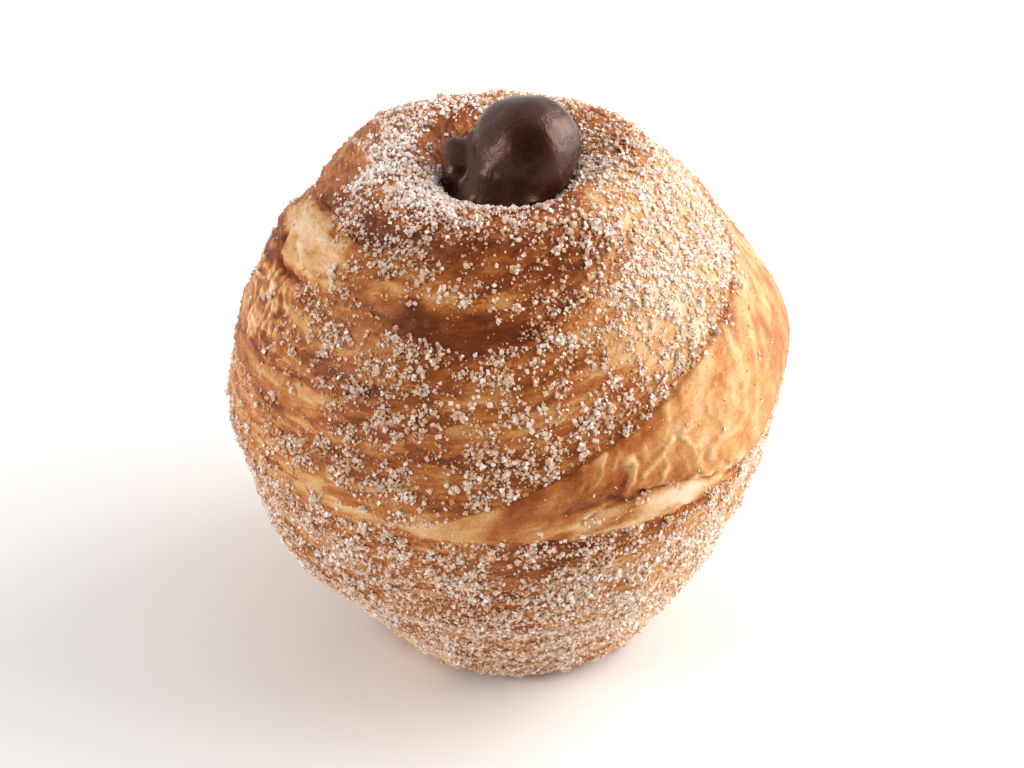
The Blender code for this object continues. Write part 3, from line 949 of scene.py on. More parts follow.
def baked_colour(tree, toasted):
    """The colour that a crust as brown as this has, painted shade and light included."""
    ramp = add_node(tree, "ValToRGB", Fac=toasted)
    set_stops(ramp, BAKING)
    return ramp.outputs["Color"]


print("baking runs from", BAKING[0][1], "to", BAKING[-1][1])

# %% The crust's material
# Sizes of the texture in mm: a flake's height, a streak and a pore. Along the strip the pattern's scale is
# this much smaller, so a flake is about four times as long as it is high.
FLAKE = 2.1
STREAK = 1.0
PORE = 0.4
SQUEEZE = 0.24


def baked_crust():
    """Browned starch and butter: a soft sheen on fine layers, and a little smoother on the tail."""
    made, tree, shader = new_material("baked_croissant_crust", IOR=1.45, Specular_IOR_Level=0.22)
    toasted, smooth, along, across = (
        add_node(tree, "Attribute", {"attribute_name": name}).outputs["Fac"]
        for name in ("toast", "smooth_strip", "along", "across")
    )
    place_of = add_node(tree, "TexCoord").outputs["Object"]
    flat = {"noise_dimensions": "2D"}

    # Long thin flakes lie along the strips, each a little browner or paler than its neighbours.
    on_strip = add_node(tree, "CombineXYZ", X=along, Y=across)
    squeezed = add_node(tree, "Mapping", Vector=on_strip, Scale=(SQUEEZE, 1.0, 1.0))
    waver = add_node(tree, "TexNoise", flat, Vector=squeezed, Scale=0.7 / STREAK, Detail=3.0)
    bent = add_node(
        tree,
        "VectorMath",
        {"operation": "MULTIPLY_ADD"},
        in0=waver.outputs["Color"],
        in1=(2.6, 2.6, 0.0),
        in2=squeezed,
    )
    flakes = add_node(tree, "TexVoronoi", {"voronoi_dimensions": "2D"}, Vector=bent, Scale=1 / FLAKE)
    flake_tone = add_node(tree, "SeparateColor", Color=flakes.outputs["Color"]).outputs["Red"]
    streaks = add_node(tree, "TexNoise", flat, Vector=squeezed, Scale=1 / STREAK, Detail=4.0)
    pores = add_node(tree, "TexNoise", Vector=place_of, Scale=1 / (PORE * MM), Detail=2.0)

    # Flakes and streaks change the shade both ways, and less where the strip is smooth.
    flaky = add_node(tree, "MapRange", Value=smooth, To_Min=1.0, To_Max=0.3)
    flake_shade = add_node(tree, "MapRange", Value=flake_tone, To_Min=-0.12, To_Max=0.12)
    streak_shade = add_node(
        tree, "MapRange", Value=streaks, From_Min=0.3, From_Max=0.7, To_Min=-0.1, To_Max=0.1
    )
    pore_shade = add_node(
        tree, "MapRange", Value=pores, From_Min=0.3, From_Max=0.7, To_Min=-0.06, To_Max=0.05
    )
    varied = add_node(
        tree, "Math", {"operation": "MULTIPLY_ADD"}, in0=flake_shade, in1=flaky, in2=toasted
    )
    streaked = add_node(
        tree, "Math", {"operation": "MULTIPLY_ADD"}, in0=streak_shade, in1=flaky, in2=varied
    )
    pored = add_node(tree, "Math", {"operation": "ADD"}, in0=streaked, in1=pore_shade)
    tree.links.new(baked_colour(tree, pored.outputs["Value"]), shader.inputs["Base Color"])
    satin = add_node(tree, "MapRange", Value=smooth, To_Min=0.5, To_Max=0.4)
    tree.links.new(satin.outputs["Result"], shader.inputs["Roughness"])

    flake_edges = add_node(tree, "Math", {"operation": "MULTIPLY"}, in0=flake_tone, in1=flaky)
    layered = add_node(tree, "Bump", Height=flake_edges, Strength=0.7, Distance=0.16 * MM)
    fine = add_node(
        tree, "Bump", Height=streaks.outputs["Fac"], Strength=0.6, Distance=0.3 * MM, Normal=layered
    )
    finest = add_node(
        tree, "Bump", Height=pores.outputs["Fac"], Strength=0.4, Distance=0.08 * MM, Normal=fine
    )
    tree.links.new(finest.outputs["Normal"], shader.inputs["Normal"])
    return made


crust_surface = baked_crust()
print("material:", crust_surface.name)

# %% Dress the pastry
crust = new_piece("pastry_crust", crust_mesh(), crust_surface)
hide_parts("pastry")
print("crust:", len(crust.data.vertices), "vertices,", len(crust.data.polygons), "faces")

# %% [markdown]
# ## The tail, a sheet of its own
#
# The last turn of dough lies on all the others with both its edges showing, and its skin is in narrow
# folds. A net as coarse as the crust's can't draw either. So the tail is a thin closed sheet with a finer
# net, 0.4 mm or less each way, laid over its place on the crust.

# %% The tail's edges
# From which turn to which the tail runs; its net's columns in mm and its rows; how far it lies off the
# crust and how thick it is, in mm; and its lower edge, as (turn, reach) points.
TAIL_FROM, TAIL_TO = -19.0, 150.0
TAIL_SPACE = 0.4
TAIL_ROWS = 56
TAIL_LIFT = 0.08
TAIL_THICKNESS = 1.1
TAIL_ENDS = [
    (-20, 71.6), (0, 71.3), (11, 70.2), (19, 66.6), (31, 65.3), (43, 68.4), (57, 71.6), (180, 54.6),
]


def tail_edges(turn):
    """The reach of the tail's upper and lower edge, torn as its lap is."""
    top = lap_edge("tail_top", turn)
    turns, reaches = np.array(TAIL_ENDS, float).T
    bottom = np.mean([np.interp(turn + shift, turns, reaches) for shift in (-4, 0, 4)], axis=0)
    bottom = bottom + 0.35 * wound_noise(turn, 0.0 * turn, 200, 1.0, 91, 0.0)
    bottom = bottom + 0.25 * wound_noise(turn, 0.0 * turn, 420, 1.0, 92, 0.0)
    return top, np.maximum(bottom, top + 0.05)


upper_edge, lower_edge = tail_edges(np.array([40.0]))
print("the tail is", round(float(lower_edge[0] - upper_edge[0]), 1), "mm wide at the right of the front")

# %% The tail's sheet
def tail_mesh():
    """The tail as a closed sheet with its folds, and how brown, with a painted highlight, and how smooth
    each point of it is.
    """
    columns = round((TAIL_TO - TAIL_FROM) * math.radians(1) * 0.5 * WIDTH / TAIL_SPACE)
    turns = np.linspace(TAIL_FROM, TAIL_TO, columns)
    top, bottom = tail_edges(turns)
    across = np.linspace(0, 1, TAIL_ROWS)[:, None]
    turn = np.repeat(turns[None, :], TAIL_ROWS, axis=0)
    reach = top + across * (bottom - top)
    points, out = skin_frames(turn.ravel(), reach.ravel())
    points, out = points.reshape(TAIL_ROWS, columns, 3), out.reshape(TAIL_ROWS, columns, 3)
    # The upper edge is feathered, and the lower one is a cut edge.
    from_edge = np.minimum((reach - top) * 0.35, bottom - reach)
    from_end = np.minimum(turn - TAIL_FROM, (TAIL_TO - turn) / 4) * 0.5
    rounded = np.sqrt(np.clip(np.minimum(from_edge, from_end) / 0.5, 0.0, 1.0))
    folded = folds(turn, reach)
    lift = (TAIL_LIFT + 0.12) * rounded - 0.12 + folded * rounded
    upper = points + out * lift[..., None]
    lower = points - out * TAIL_THICKNESS
    made = sheet_mesh("tail_sheet", upper, lower)
    # The film is paler where it stands up, in the folds and along its torn upper edge: partly thinner
    # film, partly a painted highlight.
    pale = 0.42 * np.minimum(folded, 0.7) + 0.14 * bell((reach - top) / 0.5)
    write_attribute(made, "toast", np.tile((toast(turn, reach) - pale).ravel(), 2))
    write_attribute(made, "smooth_strip", np.ones(2 * turn.size))
    write_strip_places(made, np.tile(turn.ravel(), 2), np.tile(reach.ravel(), 2))
    return made


def sheet_mesh(name, upper, lower):
    """A closed thin sheet between two nets of the same size, joined round their edges."""
    rows, columns, _ = upper.shape
    count = rows * columns
    corner = np.arange(count).reshape(rows, columns)
    quads = np.stack([corner[:-1, :-1], corner[1:, :-1], corner[1:, 1:], corner[:-1, 1:]], axis=-1)
    quads = quads.reshape(-1, 4)
    border = np.concatenate([corner[0, :-1], corner[:-1, -1], corner[-1, :0:-1], corner[:0:-1, 0]])
    after = np.roll(border, -1)
    rim = np.stack([border, after, after + count, border + count], axis=-1)
    points = np.vstack([upper.reshape(-1, 3), lower.reshape(-1, 3)])
    made = new_mesh(name, points, np.vstack([quads, quads[:, ::-1] + count, rim]).tolist())
    made.shade_smooth()
    return made


tail = new_piece("tail_sheet", tail_mesh(), crust_surface)
print("tail:", len(tail.data.polygons), "faces")

# %% [markdown]
# ## Sugar
#
# Granulated sugar is clear monoclinic crystals, 0.3 to 0.8 mm long, like little blocks with the corners
# pushed about. They look white because light bounces between so many faces. Where the buttery crust held
# them they lie thick, and they stick to each other in clumps. Every crystal here is a solid of its own.

# %% Where the sugar lies
# The turn and reach of the middle, the half width in degrees, the half height in mm, and how many times
# as much sugar lies there as the plain rule gives.
SUGARED = {
    "crown_side": (-106, 36, 26, 6, 0.08),
    "fold_left": (-102, 45, 12, 5, 0.05),
    "comb": (-78, 41, 18, 5, 0.03),
    "groove_left": (-86, 47, 14, 4, 0.12),
    "caramel_turn": (-57, 29, 11, 3.0, 0.30),
    "pale_neighbour": (-38, 38.5, 8, 3, 0.3),
    "dark_sheet": (-18, 39.3, 25, 3.8, 0.02),
    "front_top": (0, 30, 36, 6, 0.24),
    "hollow_left": (-125, 18, 42, 4.5, 0.04),
    "stain": (40, 20, 24, 3.5, 0.3),
    "pale_crown": (64, 24, 18, 6, 0.3),
    "net": (-84, 55, 26, 9, 0.06),
    "left_side": (-84, 66, 26, 10, 0.2),
    "gold_left": (-54, 60, 16, 4.5, 0.06),
    "gold_band": (-36, 70, 14, 2.5, 0.2),
    "pale_base": (-37, 117, 18, 7, 0.0),
    "thick_left": (-80, 22, 60, 7, 1.7),
    "thick_right": (72, 32, 38, 14, 1.6),
}
# How large drifts and small clusters of sugar are, in mm, and where some crystals lie on the tail.
SUGAR_DRIFT = 4.6
SUGAR_CLUSTER = 1.5
SPECKED = [(19, 68, 6, 1.6), (34, 66.2, 7, 1.2)]


def tail_top(turn):
    """The reach of the tail's upper edge, as it was drawn."""
    turns, tops, _ = np.array(LAPS["tail_top"][0], float).T
    return np.interp(turn, turns, tops)


def sugar_cover(turn, reach):
    """How thickly sugar lies, from 0 to 1."""
    drifts = rich_noise(turn, reach, 60, SUGAR_DRIFT, 83)
    low = step(reach, 70, 82)
    heavy = np.maximum.reduce([low, 1 - step(reach, 24, 32), patch(turn, reach, 80, 36, 44, 16)])
    round_clusters = wound_noise(turn, reach, 190, SUGAR_CLUSTER, 87)
    long_clusters = wound_noise(turn, reach, 64, SUGAR_CLUSTER, 88)
    clusters = round_clusters + low * (long_clusters - round_clusters)
    cover = 0.14 + 0.86 * step(drifts, -0.52 - 0.35 * heavy, 0.26 - 0.20 * heavy)
    sparse = 0.18 + 0.12 * heavy
    cover = cover * (sparse + (1 - sparse) * step(clusters, -0.30, 0.30))
    cover = cover * (0.84 + 0.16 * heavy) * (1 - 0.4 * step(np.abs(turn), 110, 140))
    for *oval, factor in SUGARED.values():
        cover = cover * (1 - (1 - factor) * patch(turn, reach, *oval))
    for edge, lip, width, soft, side in lap_edges(turn):
        below = side * (reach - edge)
        cover = cover * (1 + 0.7 * np.minimum(lip, 1.0) * bell((below - 0.7) / 0.9))
    specks = np.maximum(*(patch(turn, reach, *oval) for oval in SPECKED))
    below_top = np.maximum(reach - tail_top(turn), 0.0)
    above_bottom = np.maximum(72.5 - reach, 0.0)
    strewn = np.maximum(0.8 * step(turn, 44, 60) * bell(below_top / 2.2), 0.6 * bell(above_bottom / 1.5))
    cover = cover * (1 - 0.975 * tail_strip(turn, reach) * (1 - 0.5 * specks) * (1 - strewn))
    return np.minimum(cover, 1.0) * step(reach, 13, 16) * (1 - step(reach, 119, 125))


print("sugar low at the front covers", np.round(sugar_cover(*front)[-300:-100].mean(), 2), "of the most")

# %% Places for crystals
def scatter(count, draw, power=1.0):
    """Turns and reaches for this many crystals, packed as closely as this power of the cover allows."""
    turns, reaches = np.empty(0), np.empty(0)
    while len(turns) < count:
        turn = draw.uniform(-180, 180, 4 * count)
        reach = draw.uniform(HOLLOW_END - 6, BASE_START + 1, 4 * count)
        chance = sugar_cover(turn, reach) ** power * outline(reach)[0] / (WIDTH / 2)
        kept = draw.uniform(0, 1, 4 * count) < chance
        turns, reaches = np.append(turns, turn[kept]), np.append(reaches, reach[kept])
    return turns[:count], reaches[:count]


print("crystals may lie from", HOLLOW_END - 6, "to", BASE_START + 1, "mm of reach")

# %% [markdown]
# A large crystal starts as a block with eight corners, a smaller one as a wedge, and the finest as a
# shard with four. Each corner is moved a little, each crystal is stretched and turned its own way, and
# thousands of them are written to one mesh with a single array operation.

# %% Three plain forms
BLOCK = np.array([(x, y, z) for x in (-1, 1) for y in (-1, 1) for z in (-1, 1)]) / 2
BLOCK_FACES = [(0, 1, 3, 2), (4, 6, 7, 5), (0, 4, 5, 1), (2, 3, 7, 6), (0, 2, 6, 4), (1, 5, 7, 3)]
WEDGE = np.array([(x, y, z) for z in (-1, 1) for x, y in ((-1, -0.6), (1, -0.6), (0, 1))]) * 0.55
WEDGE_FACES = [(0, 2, 1), (3, 4, 5), (0, 1, 4), (0, 4, 3), (1, 2, 5), (1, 5, 4), (2, 0, 3), (2, 3, 5)]
SHARD = np.array([(1, 1, 1), (1, -1, -1), (-1, 1, -1), (-1, -1, 1)]) * 0.5
SHARD_FACES = [(0, 1, 2), (0, 3, 1), (0, 2, 3), (1, 3, 2)]
print("faces:", len(BLOCK_FACES), len(WEDGE_FACES), len(SHARD_FACES))

# %% Crystals in one mesh
def random_turns(count, draw):
    """A random rotation matrix for each crystal."""
    quaternions = draw.normal(size=(count, 4))
    w, x, y, z = (quaternions / np.linalg.norm(quaternions, axis=1, keepdims=True)).T
    rows = [
        [1 - 2 * (y * y + z * z), 2 * (x * y - w * z), 2 * (x * z + w * y)],
        [2 * (x * y + w * z), 1 - 2 * (x * x + z * z), 2 * (y * z - w * x)],
        [2 * (x * z - w * y), 2 * (y * z + w * x), 1 - 2 * (x * x + y * y)],
    ]
    return np.array(rows).transpose(2, 0, 1)


def crystals_mesh(name, centres, sizes, under, frosted, draw, corners=BLOCK, faces=BLOCK_FACES):
    """One mesh of crystals at their centres in mm, with the crust's toast and painted shading under each
    and how frosted it is.
    """
    count, each = len(centres), len(corners)
    stretch = draw.uniform(0.65, 1.3, (count, 1, 3))
    shaped = corners * stretch * (1 + draw.uniform(-0.2, 0.2, (count, each, 3)))
    shaped = np.einsum("nij,nkj->nki", random_turns(count, draw), shaped) * sizes[:, None, None]
    shaped = shaped + centres[:, None, :]
    starts = each * np.arange(count)[:, None, None]
    indices = (starts + np.array(faces)).reshape(count * len(faces), -1)
    made = new_mesh(name, shaped.reshape(-1, 3), indices.tolist())
    varied = draw.uniform(-0.32, 0.32, (count, 1)) + draw.uniform(-0.36, 0.36, (count, each))
    write_attribute(made, "frosting", frosted[:, None] + varied)
    write_attribute(made, "toast", np.repeat(under, each))
    return made


turned = BLOCK @ random_turns(1, np.random.default_rng(1))[0].T
print("a turned block's corner is still", round(float(np.linalg.norm(turned[0])), 3), "from its middle")

# %% The sugar's material
FROST = "#FFF5F1"
# The size of the cloudy places in a crystal, in mm.
CLOUD = 0.3


def sugar_crystal():
    """Sucrose: clear, IOR 1.56. Where a face isn't frosted, the buttery crust under it shows through."""
    made, tree, shader = new_material(
        "granulated_sugar",
        Roughness=0.15,
        IOR=1.56,
        Specular_IOR_Level=0.45,
        Subsurface_Weight=0.3,
        Subsurface_Radius=(1.0, 0.85, 0.75),
        Subsurface_Scale=0.3 * MM,
    )
    frosting, under = (
        add_node(tree, "Attribute", {"attribute_name": name}).outputs["Fac"]
        for name in ("frosting", "toast")
    )
    place_of = add_node(tree, "TexCoord").outputs["Object"]
    cloud = add_node(tree, "TexNoise", Vector=place_of, Scale=1 / (CLOUD * MM), Detail=1.0)
    cloudy = add_node(
        tree, "MapRange", Value=cloud, From_Min=0.3, From_Max=0.7, To_Min=-0.12, To_Max=0.12
    )
    clouded = add_node(tree, "Math", {"operation": "ADD", "use_clamp": True}, in0=frosting, in1=cloudy)
    seen_through = add_node(tree, "Math", {"operation": "MULTIPLY"}, in0=under, in1=0.62)
    crust_colour = baked_colour(tree, seen_through.outputs["Value"])
    colour = add_node(
        tree, "Mix", {"data_type": "RGBA"}, in0=clouded, in6=crust_colour, in7=linear(FROST)
    )
    tree.links.new(next(s for s in colour.outputs if s.enabled), shader.inputs["Base Color"])
    return made


sugar = sugar_crystal()
print("material:", sugar.name)

# %% [markdown]
# Sizes follow the sieve: most crystals are under half a millimetre, and few are large. Each of three
# sizes is one piece. A crystal is sunk a little into the buttery crust, and some lie on others. Round
# the hollow and at its left the sugar lay thick and stayed white; elsewhere the butter soaked in.

# %% Scatter the loose crystals
# How many, the smallest and largest in mm, the power of the cover, how frosted, the seed, the plain form.
KINDS = {
    "sugar_fine": (49400, 0.20, 0.38, 0.7, 0.14, 101, SHARD, SHARD_FACES),
    "sugar_medium": (24800, 0.32, 0.48, 1.0, 0.28, 102, WEDGE, WEDGE_FACES),
    "sugar_coarse": (16400, 0.44, 0.60, 1.1, 0.36, 104, BLOCK, BLOCK_FACES),
}
# How far a crystal's middle is lifted, as a share of its size.
LIFT = 0.1
# Where the sugar lay thick and stayed white: an oval as above, and how much more frosted it is.
FROSTED = {
    "rim": (0, 14, 360, 9, 0.24),
    "crown_left": (-110, 23, 80, 12, 0.45),
    "crown_right": (75, 34, 40, 14, 0.1),
}
for name, (count, smallest, largest, power, frosted, seed, corners, faces) in KINDS.items():
    draw = np.random.default_rng(seed)
    turn, reach = scatter(count, draw, power)
    points, out = skin_frames(turn, reach)
    sizes = smallest + (largest - smallest) * draw.uniform(0, 1, count) ** 1.3
    piled = draw.uniform(0, 1, count) ** 3 * 0.4 * sugar_cover(turn, reach)
    centres = points + out * (sizes * LIFT + piled)[:, None]
    frost = frosted + 0.8 * piled
    for *oval, more in FROSTED.values():
        frost = frost + more * patch(turn, reach, *oval)
    mesh = crystals_mesh(name, centres, sizes, toast(turn, reach), frost, draw, corners, faces)
    new_piece(name, mesh, sugar)
    print(name, count, "crystals")

# %% [markdown]
# Damp sugar also cakes. Where the solid carries a large grain, a clump of 9 to 14 crystals sits here.
# The same rule and the same seed give the same places. Smaller clumps are strewn between them.

# %% Where the large grains are
# How many, how far apart in mm, and the seed.
GRAINS = 124
GRAIN_SPACE = 6.5
GRAIN_SEED = 7


def grain_cover(turn, reach):
    """The plain rule by which the solid's large grains were placed."""
    top = tail_top(turn)
    on_tail = step(turn, -20, 20) * (1 - step(turn, 120, 160)) * step(reach, top, top + 2)
    on_tail = on_tail * (1 - step(reach, 71, 75))
    on_left = (1 - step(np.abs(turn + 95), 25, 45)) * (1 - step(np.abs(reach - 58), 12, 20))
    outside = step(reach, 16, 19) * (1 - step(reach, 112, 120))
    cover = 0.75 + 0.25 * np.sin(np.radians(3 * turn) + reach / 9)
    return cover * (1 - 0.95 * on_tail) * (1 - 0.9 * on_left) * outside


def grain_places():
    """The turns and reaches of the solid's large grains."""
    draw = np.random.default_rng(GRAIN_SEED)
    chosen, points = [], []
    while len(chosen) < GRAINS:
        turn = draw.uniform(-180, 180)
        reach = draw.uniform(HOLLOW_END * MM, BASE_START * MM) / MM
        if draw.uniform() > grain_cover(turn, reach) * outline(reach)[0] / (WIDTH / 2):
            continue
        radius, height, _, _ = outline(reach)
        angle = math.radians(turn)
        point = np.array([radius * math.sin(angle), -radius * math.cos(angle), height])
        if points and np.min(np.linalg.norm(np.array(points) - point, axis=1)) < GRAIN_SPACE:
            continue
        chosen.append((turn, reach))
        points.append(point)
    return np.array(chosen).T


large_turn, large_reach = grain_places()
print(len(large_turn), "large grains")

# %% Heap the clumps
SMALL_CLUMPS = 700
CLUMP_SEED = 103
# How many crystals a clump has, from the first number up to the one before the second.
LARGE_MEMBERS = (9, 15)
SMALL_MEMBERS = (3, 8)
# How far a clump's crystals stray from its middle, and their smallest and largest size, in mm.
LARGE_SPREAD = 0.46
SMALL_SPREAD = 0.34
CLUMPED_SIZES = (0.36, 0.62)
CLUMP_FROST = 0.42


def clump_centres(turn, reach, members, loose, draw):
    """Centres of the crystals of each clump: heaped on its middle."""
    points, out = skin_frames(turn, reach)
    owner = np.repeat(np.arange(len(turn)), members)
    offset = draw.normal(size=(len(owner), 3)) * loose
    height = np.einsum("ni,ni->n", offset, out[owner])
    offset = offset + out[owner] * (0.5 * np.abs(height) - height)[:, None]
    return points[owner] + offset * 0.8 + out[owner] * 0.15


draw = np.random.default_rng(CLUMP_SEED)
small_turn, small_reach = scatter(SMALL_CLUMPS, draw)
large_members = draw.integers(*LARGE_MEMBERS, GRAINS)
small_members = draw.integers(*SMALL_MEMBERS, SMALL_CLUMPS)
large = clump_centres(large_turn, large_reach, large_members, LARGE_SPREAD, draw)
small = clump_centres(small_turn, small_reach, small_members, SMALL_SPREAD, draw)
centres = np.vstack([large, small])
sizes = draw.uniform(*CLUMPED_SIZES, len(centres))
under_large = np.repeat(toast(large_turn, large_reach), large_members)
under_small = np.repeat(toast(small_turn, small_reach), small_members)
under = np.concatenate([under_large, under_small])
frosted = np.full(len(under), CLUMP_FROST)
new_piece("sugar_clumps", crystals_mesh("sugar_clumps", centres, sizes, under, frosted, draw), sugar)
print("sugar_clumps", len(centres), "crystals")

# %% [markdown]
# ## Chocolate
#
# The filling was piped in until it welled up: a smooth dome, with a curl at the left where the nozzle
# pulled away. Soft lobes melted into each other make that form. The skin is found from the inside: each
# point of a ball is pushed outwards until it leaves the lobes.

# %% Melted lobes
# The dome's radius, how high it stands, and how far the cream stays off the crust, in mm.
CHOCOLATE_RADIUS = 8.3
CHOCOLATE_TOP = 96.9
CLEARANCE = 0.45
# Start, end, radius at each, and how softly each lobe melts into those before it.
LOBES = {
    "dome": ((2.0, 0.7, 0.25), (2.5, 0.5, 0.4), 8.05, 8.05, 0.0),
    "neck": ((2.2, -3.4, -4.6), (-1.2, -3.2, -5.2), 5.7, 6.0, 3.2),
    "fill": ((-2.4, 0.0, -8.6), (1.0, 0.0, -8.6), 8.7, 8.7, 2.0),
    "body": ((-4.6, -6.6, -4.8), (1.2, -8.4, -5.2), 3.2, 3.6, 2.4),
    "fold": ((-5.8, 1.3, 2.1), (-5.1, -3.6, -1.5), 1.0, 1.6, 0.5),
    "curl": ((-8.0, 0.9, -0.3), (-7.8, -1.9, -2.2), 2.1, 2.6, 0.6),
}


def lobe_distance(points):
    """How far points, in mm, are outside the melted lobes; it is negative inside them."""
    nearest = None
    for start, end, first, last, softness in LOBES.values():
        start, end = np.array(start), np.array(end)
        run = end - start
        along = np.clip((points - start) @ run / (run @ run), 0.0, 1.0)
        from_run = np.linalg.norm(points - start - along[:, None] * run, axis=1)
        distance = from_run - first - (last - first) * along
        if nearest is None:
            nearest = distance
            continue
        blend = np.clip(0.5 + 0.5 * (nearest - distance) / softness, 0.0, 1.0)
        nearest = nearest + (distance - nearest) * blend - softness * blend * (1.0 - blend)
    return nearest


depth = -float(lobe_distance(np.zeros((1, 3)))[0])
print("the middle of the dome is", round(depth, 1), "mm deep in the cream")

# %% The skin of the lobes
# How far under the dome's middle the rays start, how far out and by what steps they are followed inwards,
# in mm, and how often the last step is halved.
LOBE_CENTRE_DROP = 4.2
FARTHEST = 18.0
RAY_STEP = 0.25
HALVINGS = 16


def lobe_skin(directions):
    """Where rays from the middle of the chocolate last leave the lobes, in mm."""
    centre = np.array((0.0, 0.0, -LOBE_CENTRE_DROP))
    outside = np.full(len(directions), FARTHEST)
    for _ in range(int(FARTHEST / RAY_STEP) - 2):
        clear = lobe_distance(centre + directions * (outside - RAY_STEP)[:, None]) > 0
        outside = np.where(clear, outside - RAY_STEP, outside)
    inside = outside - RAY_STEP
    for _ in range(HALVINGS):
        middle = 0.5 * (inside + outside)
        clear = lobe_distance(centre + directions * middle[:, None]) > 0
        outside = np.where(clear, middle, outside)
        inside = np.where(clear, inside, middle)
    return centre + directions * inside[:, None]


highest = lobe_skin(np.array([[0.0, 0.0, 1.0]]))[0, 2]
print("the lobes reach", round(float(highest), 2), "mm above the dome's middle")

# %% Keep the cream off the crust
# Where the chocolate could touch the crust: the hollow and its rim.
RIM_TURNS = 720
RIM_REACHES = np.arange(0, 30, 0.4)


def clear_of_pastry(points):
    """The points moved out of the crust, to the clearance from its hollow and rim."""
    turns = np.linspace(-180, 180, RIM_TURNS, endpoint=False)
    rim = place(*np.meshgrid(turns, RIM_REACHES, indexing="ij"))
    _, _, out_r, out_z = outline(RIM_REACHES)
    to_right, to_back = lean(points[:, 2], 0.0)
    angle = np.arctan2(points[:, 0] - to_right, to_back - points[:, 1])
    column = np.round((np.degrees(angle) + 180) * RIM_TURNS / 360).astype(int) % RIM_TURNS
    gaps = np.linalg.norm(rim[column] - points[:, None], axis=2)
    closest = np.argmin(gaps, axis=1)
    out_r, out_z = out_r[closest], out_z[closest]
    out = np.stack([out_r * np.sin(angle), -out_r * np.cos(angle), out_z], axis=1)
    outside = np.einsum("ni,ni->n", points - rim[column, closest], out)
    return points + out * np.maximum(CLEARANCE - outside, 0.0)[:, None]


print("the hollow and its rim are looked at in", RIM_TURNS * len(RIM_REACHES), "places")

# %% [markdown]
# A ganache-like cream sets with a skin that is satin, not mirror-like, and a few burst bubbles leave
# pits near its top. Cocoa solids make it a very dark red-brown. Its skin is a film of fat over them, so
# even its gloss is a little brown.

# %% The cream's form
CHOCOLATE_SUBDIVISIONS = 6
SMOOTHING_ROUNDS = 4
# The direction of each pit from the middle of the dome, its radius and its depth in mm.
PITS = [
    ((-0.03, -0.17, 0.98), 0.55, 0.26),
    ((-0.22, -0.27, 0.94), 0.32, 0.14),
    ((0.77, -0.19, 0.62), 0.38, 0.20),
    ((0.63, -0.53, 0.56), 0.50, 0.18),
    ((0.70, -0.56, 0.45), 0.42, 0.20),
    ((0.77, -0.55, 0.33), 0.34, 0.16),
    ((-0.62, -0.66, 0.42), 0.30, 0.10),
]
# Shallow dents: how deep in mm, and two waves, the first across x and z and the second across y and z. A
# wave has its radians to a mm in each direction, and where it starts.
DENTS = [
    (0.18, (0.55, 0.4, 1.0), (0.6, -0.45, 2.0)),
    (0.08, (1.5, -0.8, 0.0), (1.3, 1.0, 0.7)),
]


def smooth_skin(points, mesh, rounds):
    """Each point moved half way to the mean of its neighbours, this many times, to round sharp seams."""
    edges = np.empty(2 * len(mesh.edges), np.int32)
    mesh.edges.foreach_get("vertices", edges)
    first, second = edges.reshape(-1, 2).T
    neighbours = np.bincount(edges, minlength=len(points))[:, None]
    for _ in range(rounds):
        total = np.zeros_like(points)
        np.add.at(total, first, points[second])
        np.add.at(total, second, points[first])
        points = 0.5 * (points + total / neighbours)
    return points


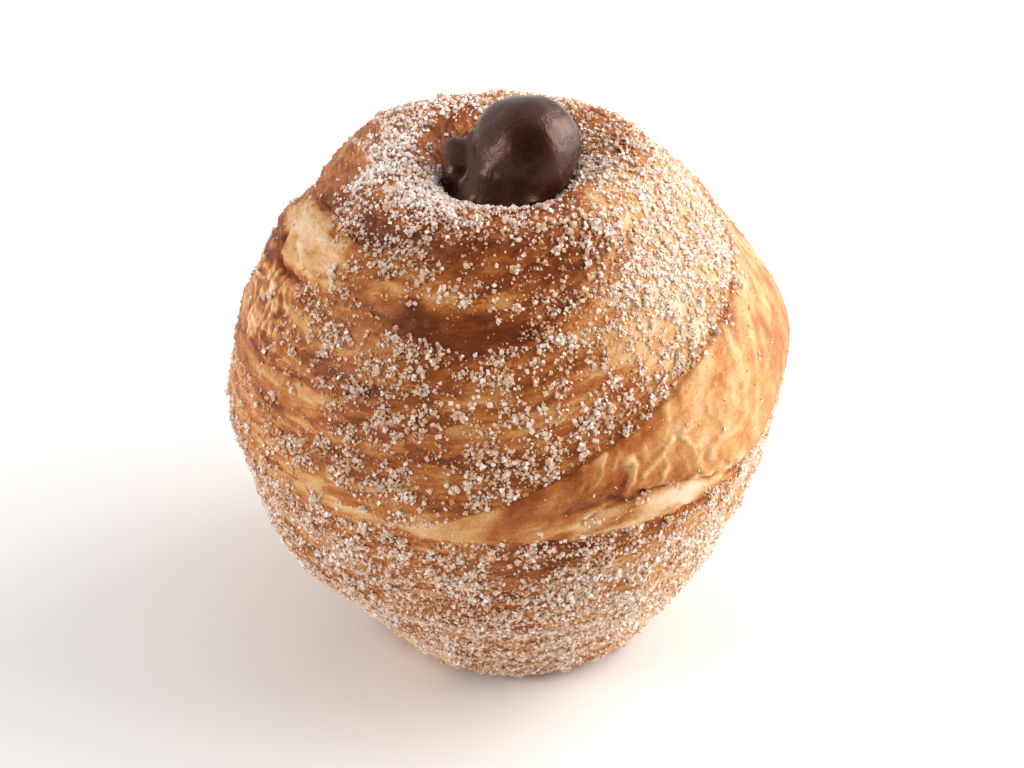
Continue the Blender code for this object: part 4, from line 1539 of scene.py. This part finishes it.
def chocolate_mesh():
    """The cream: a ball of directions, pushed out to the lobes' skin, pitted, dented and smoothed."""
    shape = bmesh.new()
    bmesh.ops.create_icosphere(shape, subdivisions=CHOCOLATE_SUBDIVISIONS, radius=1.0)
    made = bpy.data.meshes.new("chocolate_cream")
    shape.to_mesh(made)
    shape.free()
    directions = np.empty(3 * len(made.vertices), np.float32)
    made.vertices.foreach_get("co", directions)
    directions = directions.reshape(-1, 3).astype(float)
    directions /= np.linalg.norm(directions, axis=1, keepdims=True)
    skin = lobe_skin(directions)
    dome = np.array(LOBES["dome"][0])
    for direction, radius, depth in PITS:
        middle = dome + np.array(direction) / np.linalg.norm(direction) * CHOCOLATE_RADIUS
        far = np.linalg.norm(skin - middle, axis=1) / radius
        skin -= directions * (depth * np.exp(-(far**4)))[:, None]
    x, y, z = skin.T
    dents = 0.0
    for depth, (by_x, by_z, start), (by_y, also_by_z, other_start) in DENTS:
        first_wave = np.sin(by_x * x + by_z * z + start)
        dents = dents + depth * first_wave * np.sin(by_y * y + also_by_z * z + other_start)
    skin += directions * dents[:, None]
    skin = smooth_skin(skin, made, SMOOTHING_ROUNDS)
    middle = np.array([*lean(HEIGHT, END), CHOCOLATE_TOP - CHOCOLATE_RADIUS])
    points = clear_of_pastry(middle + skin) * MM
    made.vertices.foreach_set("co", points.astype(np.float32).ravel())
    made.update()
    made.shade_smooth()
    return made


cream_mesh = chocolate_mesh()
print("the cream has", len(cream_mesh.polygons), "faces")

# %% The cream's material
# Sizes of the texture in mm: the smears that the nozzle left, and the finest bubbles.
SMEAR = 2.4
BUBBLE = 0.5


def chocolate_cream():
    """Cocoa, fat and sugar, piped and set: satin, with an IOR of 1.47."""
    made, tree, shader = new_material(
        "piped_chocolate_cream", IOR=1.47, Specular_IOR_Level=0.68, Specular_Tint=linear("#FFCDBB")
    )
    place_of = add_node(tree, "TexCoord").outputs["Object"]
    smear = add_node(
        tree, "TexNoise", Vector=place_of, Scale=1 / (SMEAR * MM), Detail=4.0, Distortion=0.8
    )
    ramp = add_node(tree, "ValToRGB", Fac=smear.outputs["Fac"])
    set_stops(ramp, [(0.3, "#240C06"), (0.72, "#36140A")])
    tree.links.new(ramp.outputs["Color"], shader.inputs["Base Color"])
    satin = add_node(
        tree, "MapRange", Value=smear, From_Min=0.3, From_Max=0.7, To_Min=0.22, To_Max=0.36
    )
    tree.links.new(satin.outputs["Result"], shader.inputs["Roughness"])
    bubbles = add_node(tree, "TexNoise", Vector=place_of, Scale=1 / (BUBBLE * MM), Detail=2.0)
    soft = add_node(tree, "Bump", Height=smear.outputs["Fac"], Strength=0.6, Distance=0.35 * MM)
    tiny = add_node(
        tree, "Bump", Height=bubbles.outputs["Fac"], Strength=0.5, Distance=0.08 * MM, Normal=soft
    )
    tree.links.new(tiny.outputs["Normal"], shader.inputs["Normal"])
    return made


cream_surface = chocolate_cream()
print("material:", cream_surface.name)

# %% Fill the cruffin
chocolate = new_piece("chocolate_cream", cream_mesh, cream_surface)
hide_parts("chocolate")
print("the chocolate stands", round(max(v.co.z for v in cream_mesh.vertices) / MM, 1), "mm high")
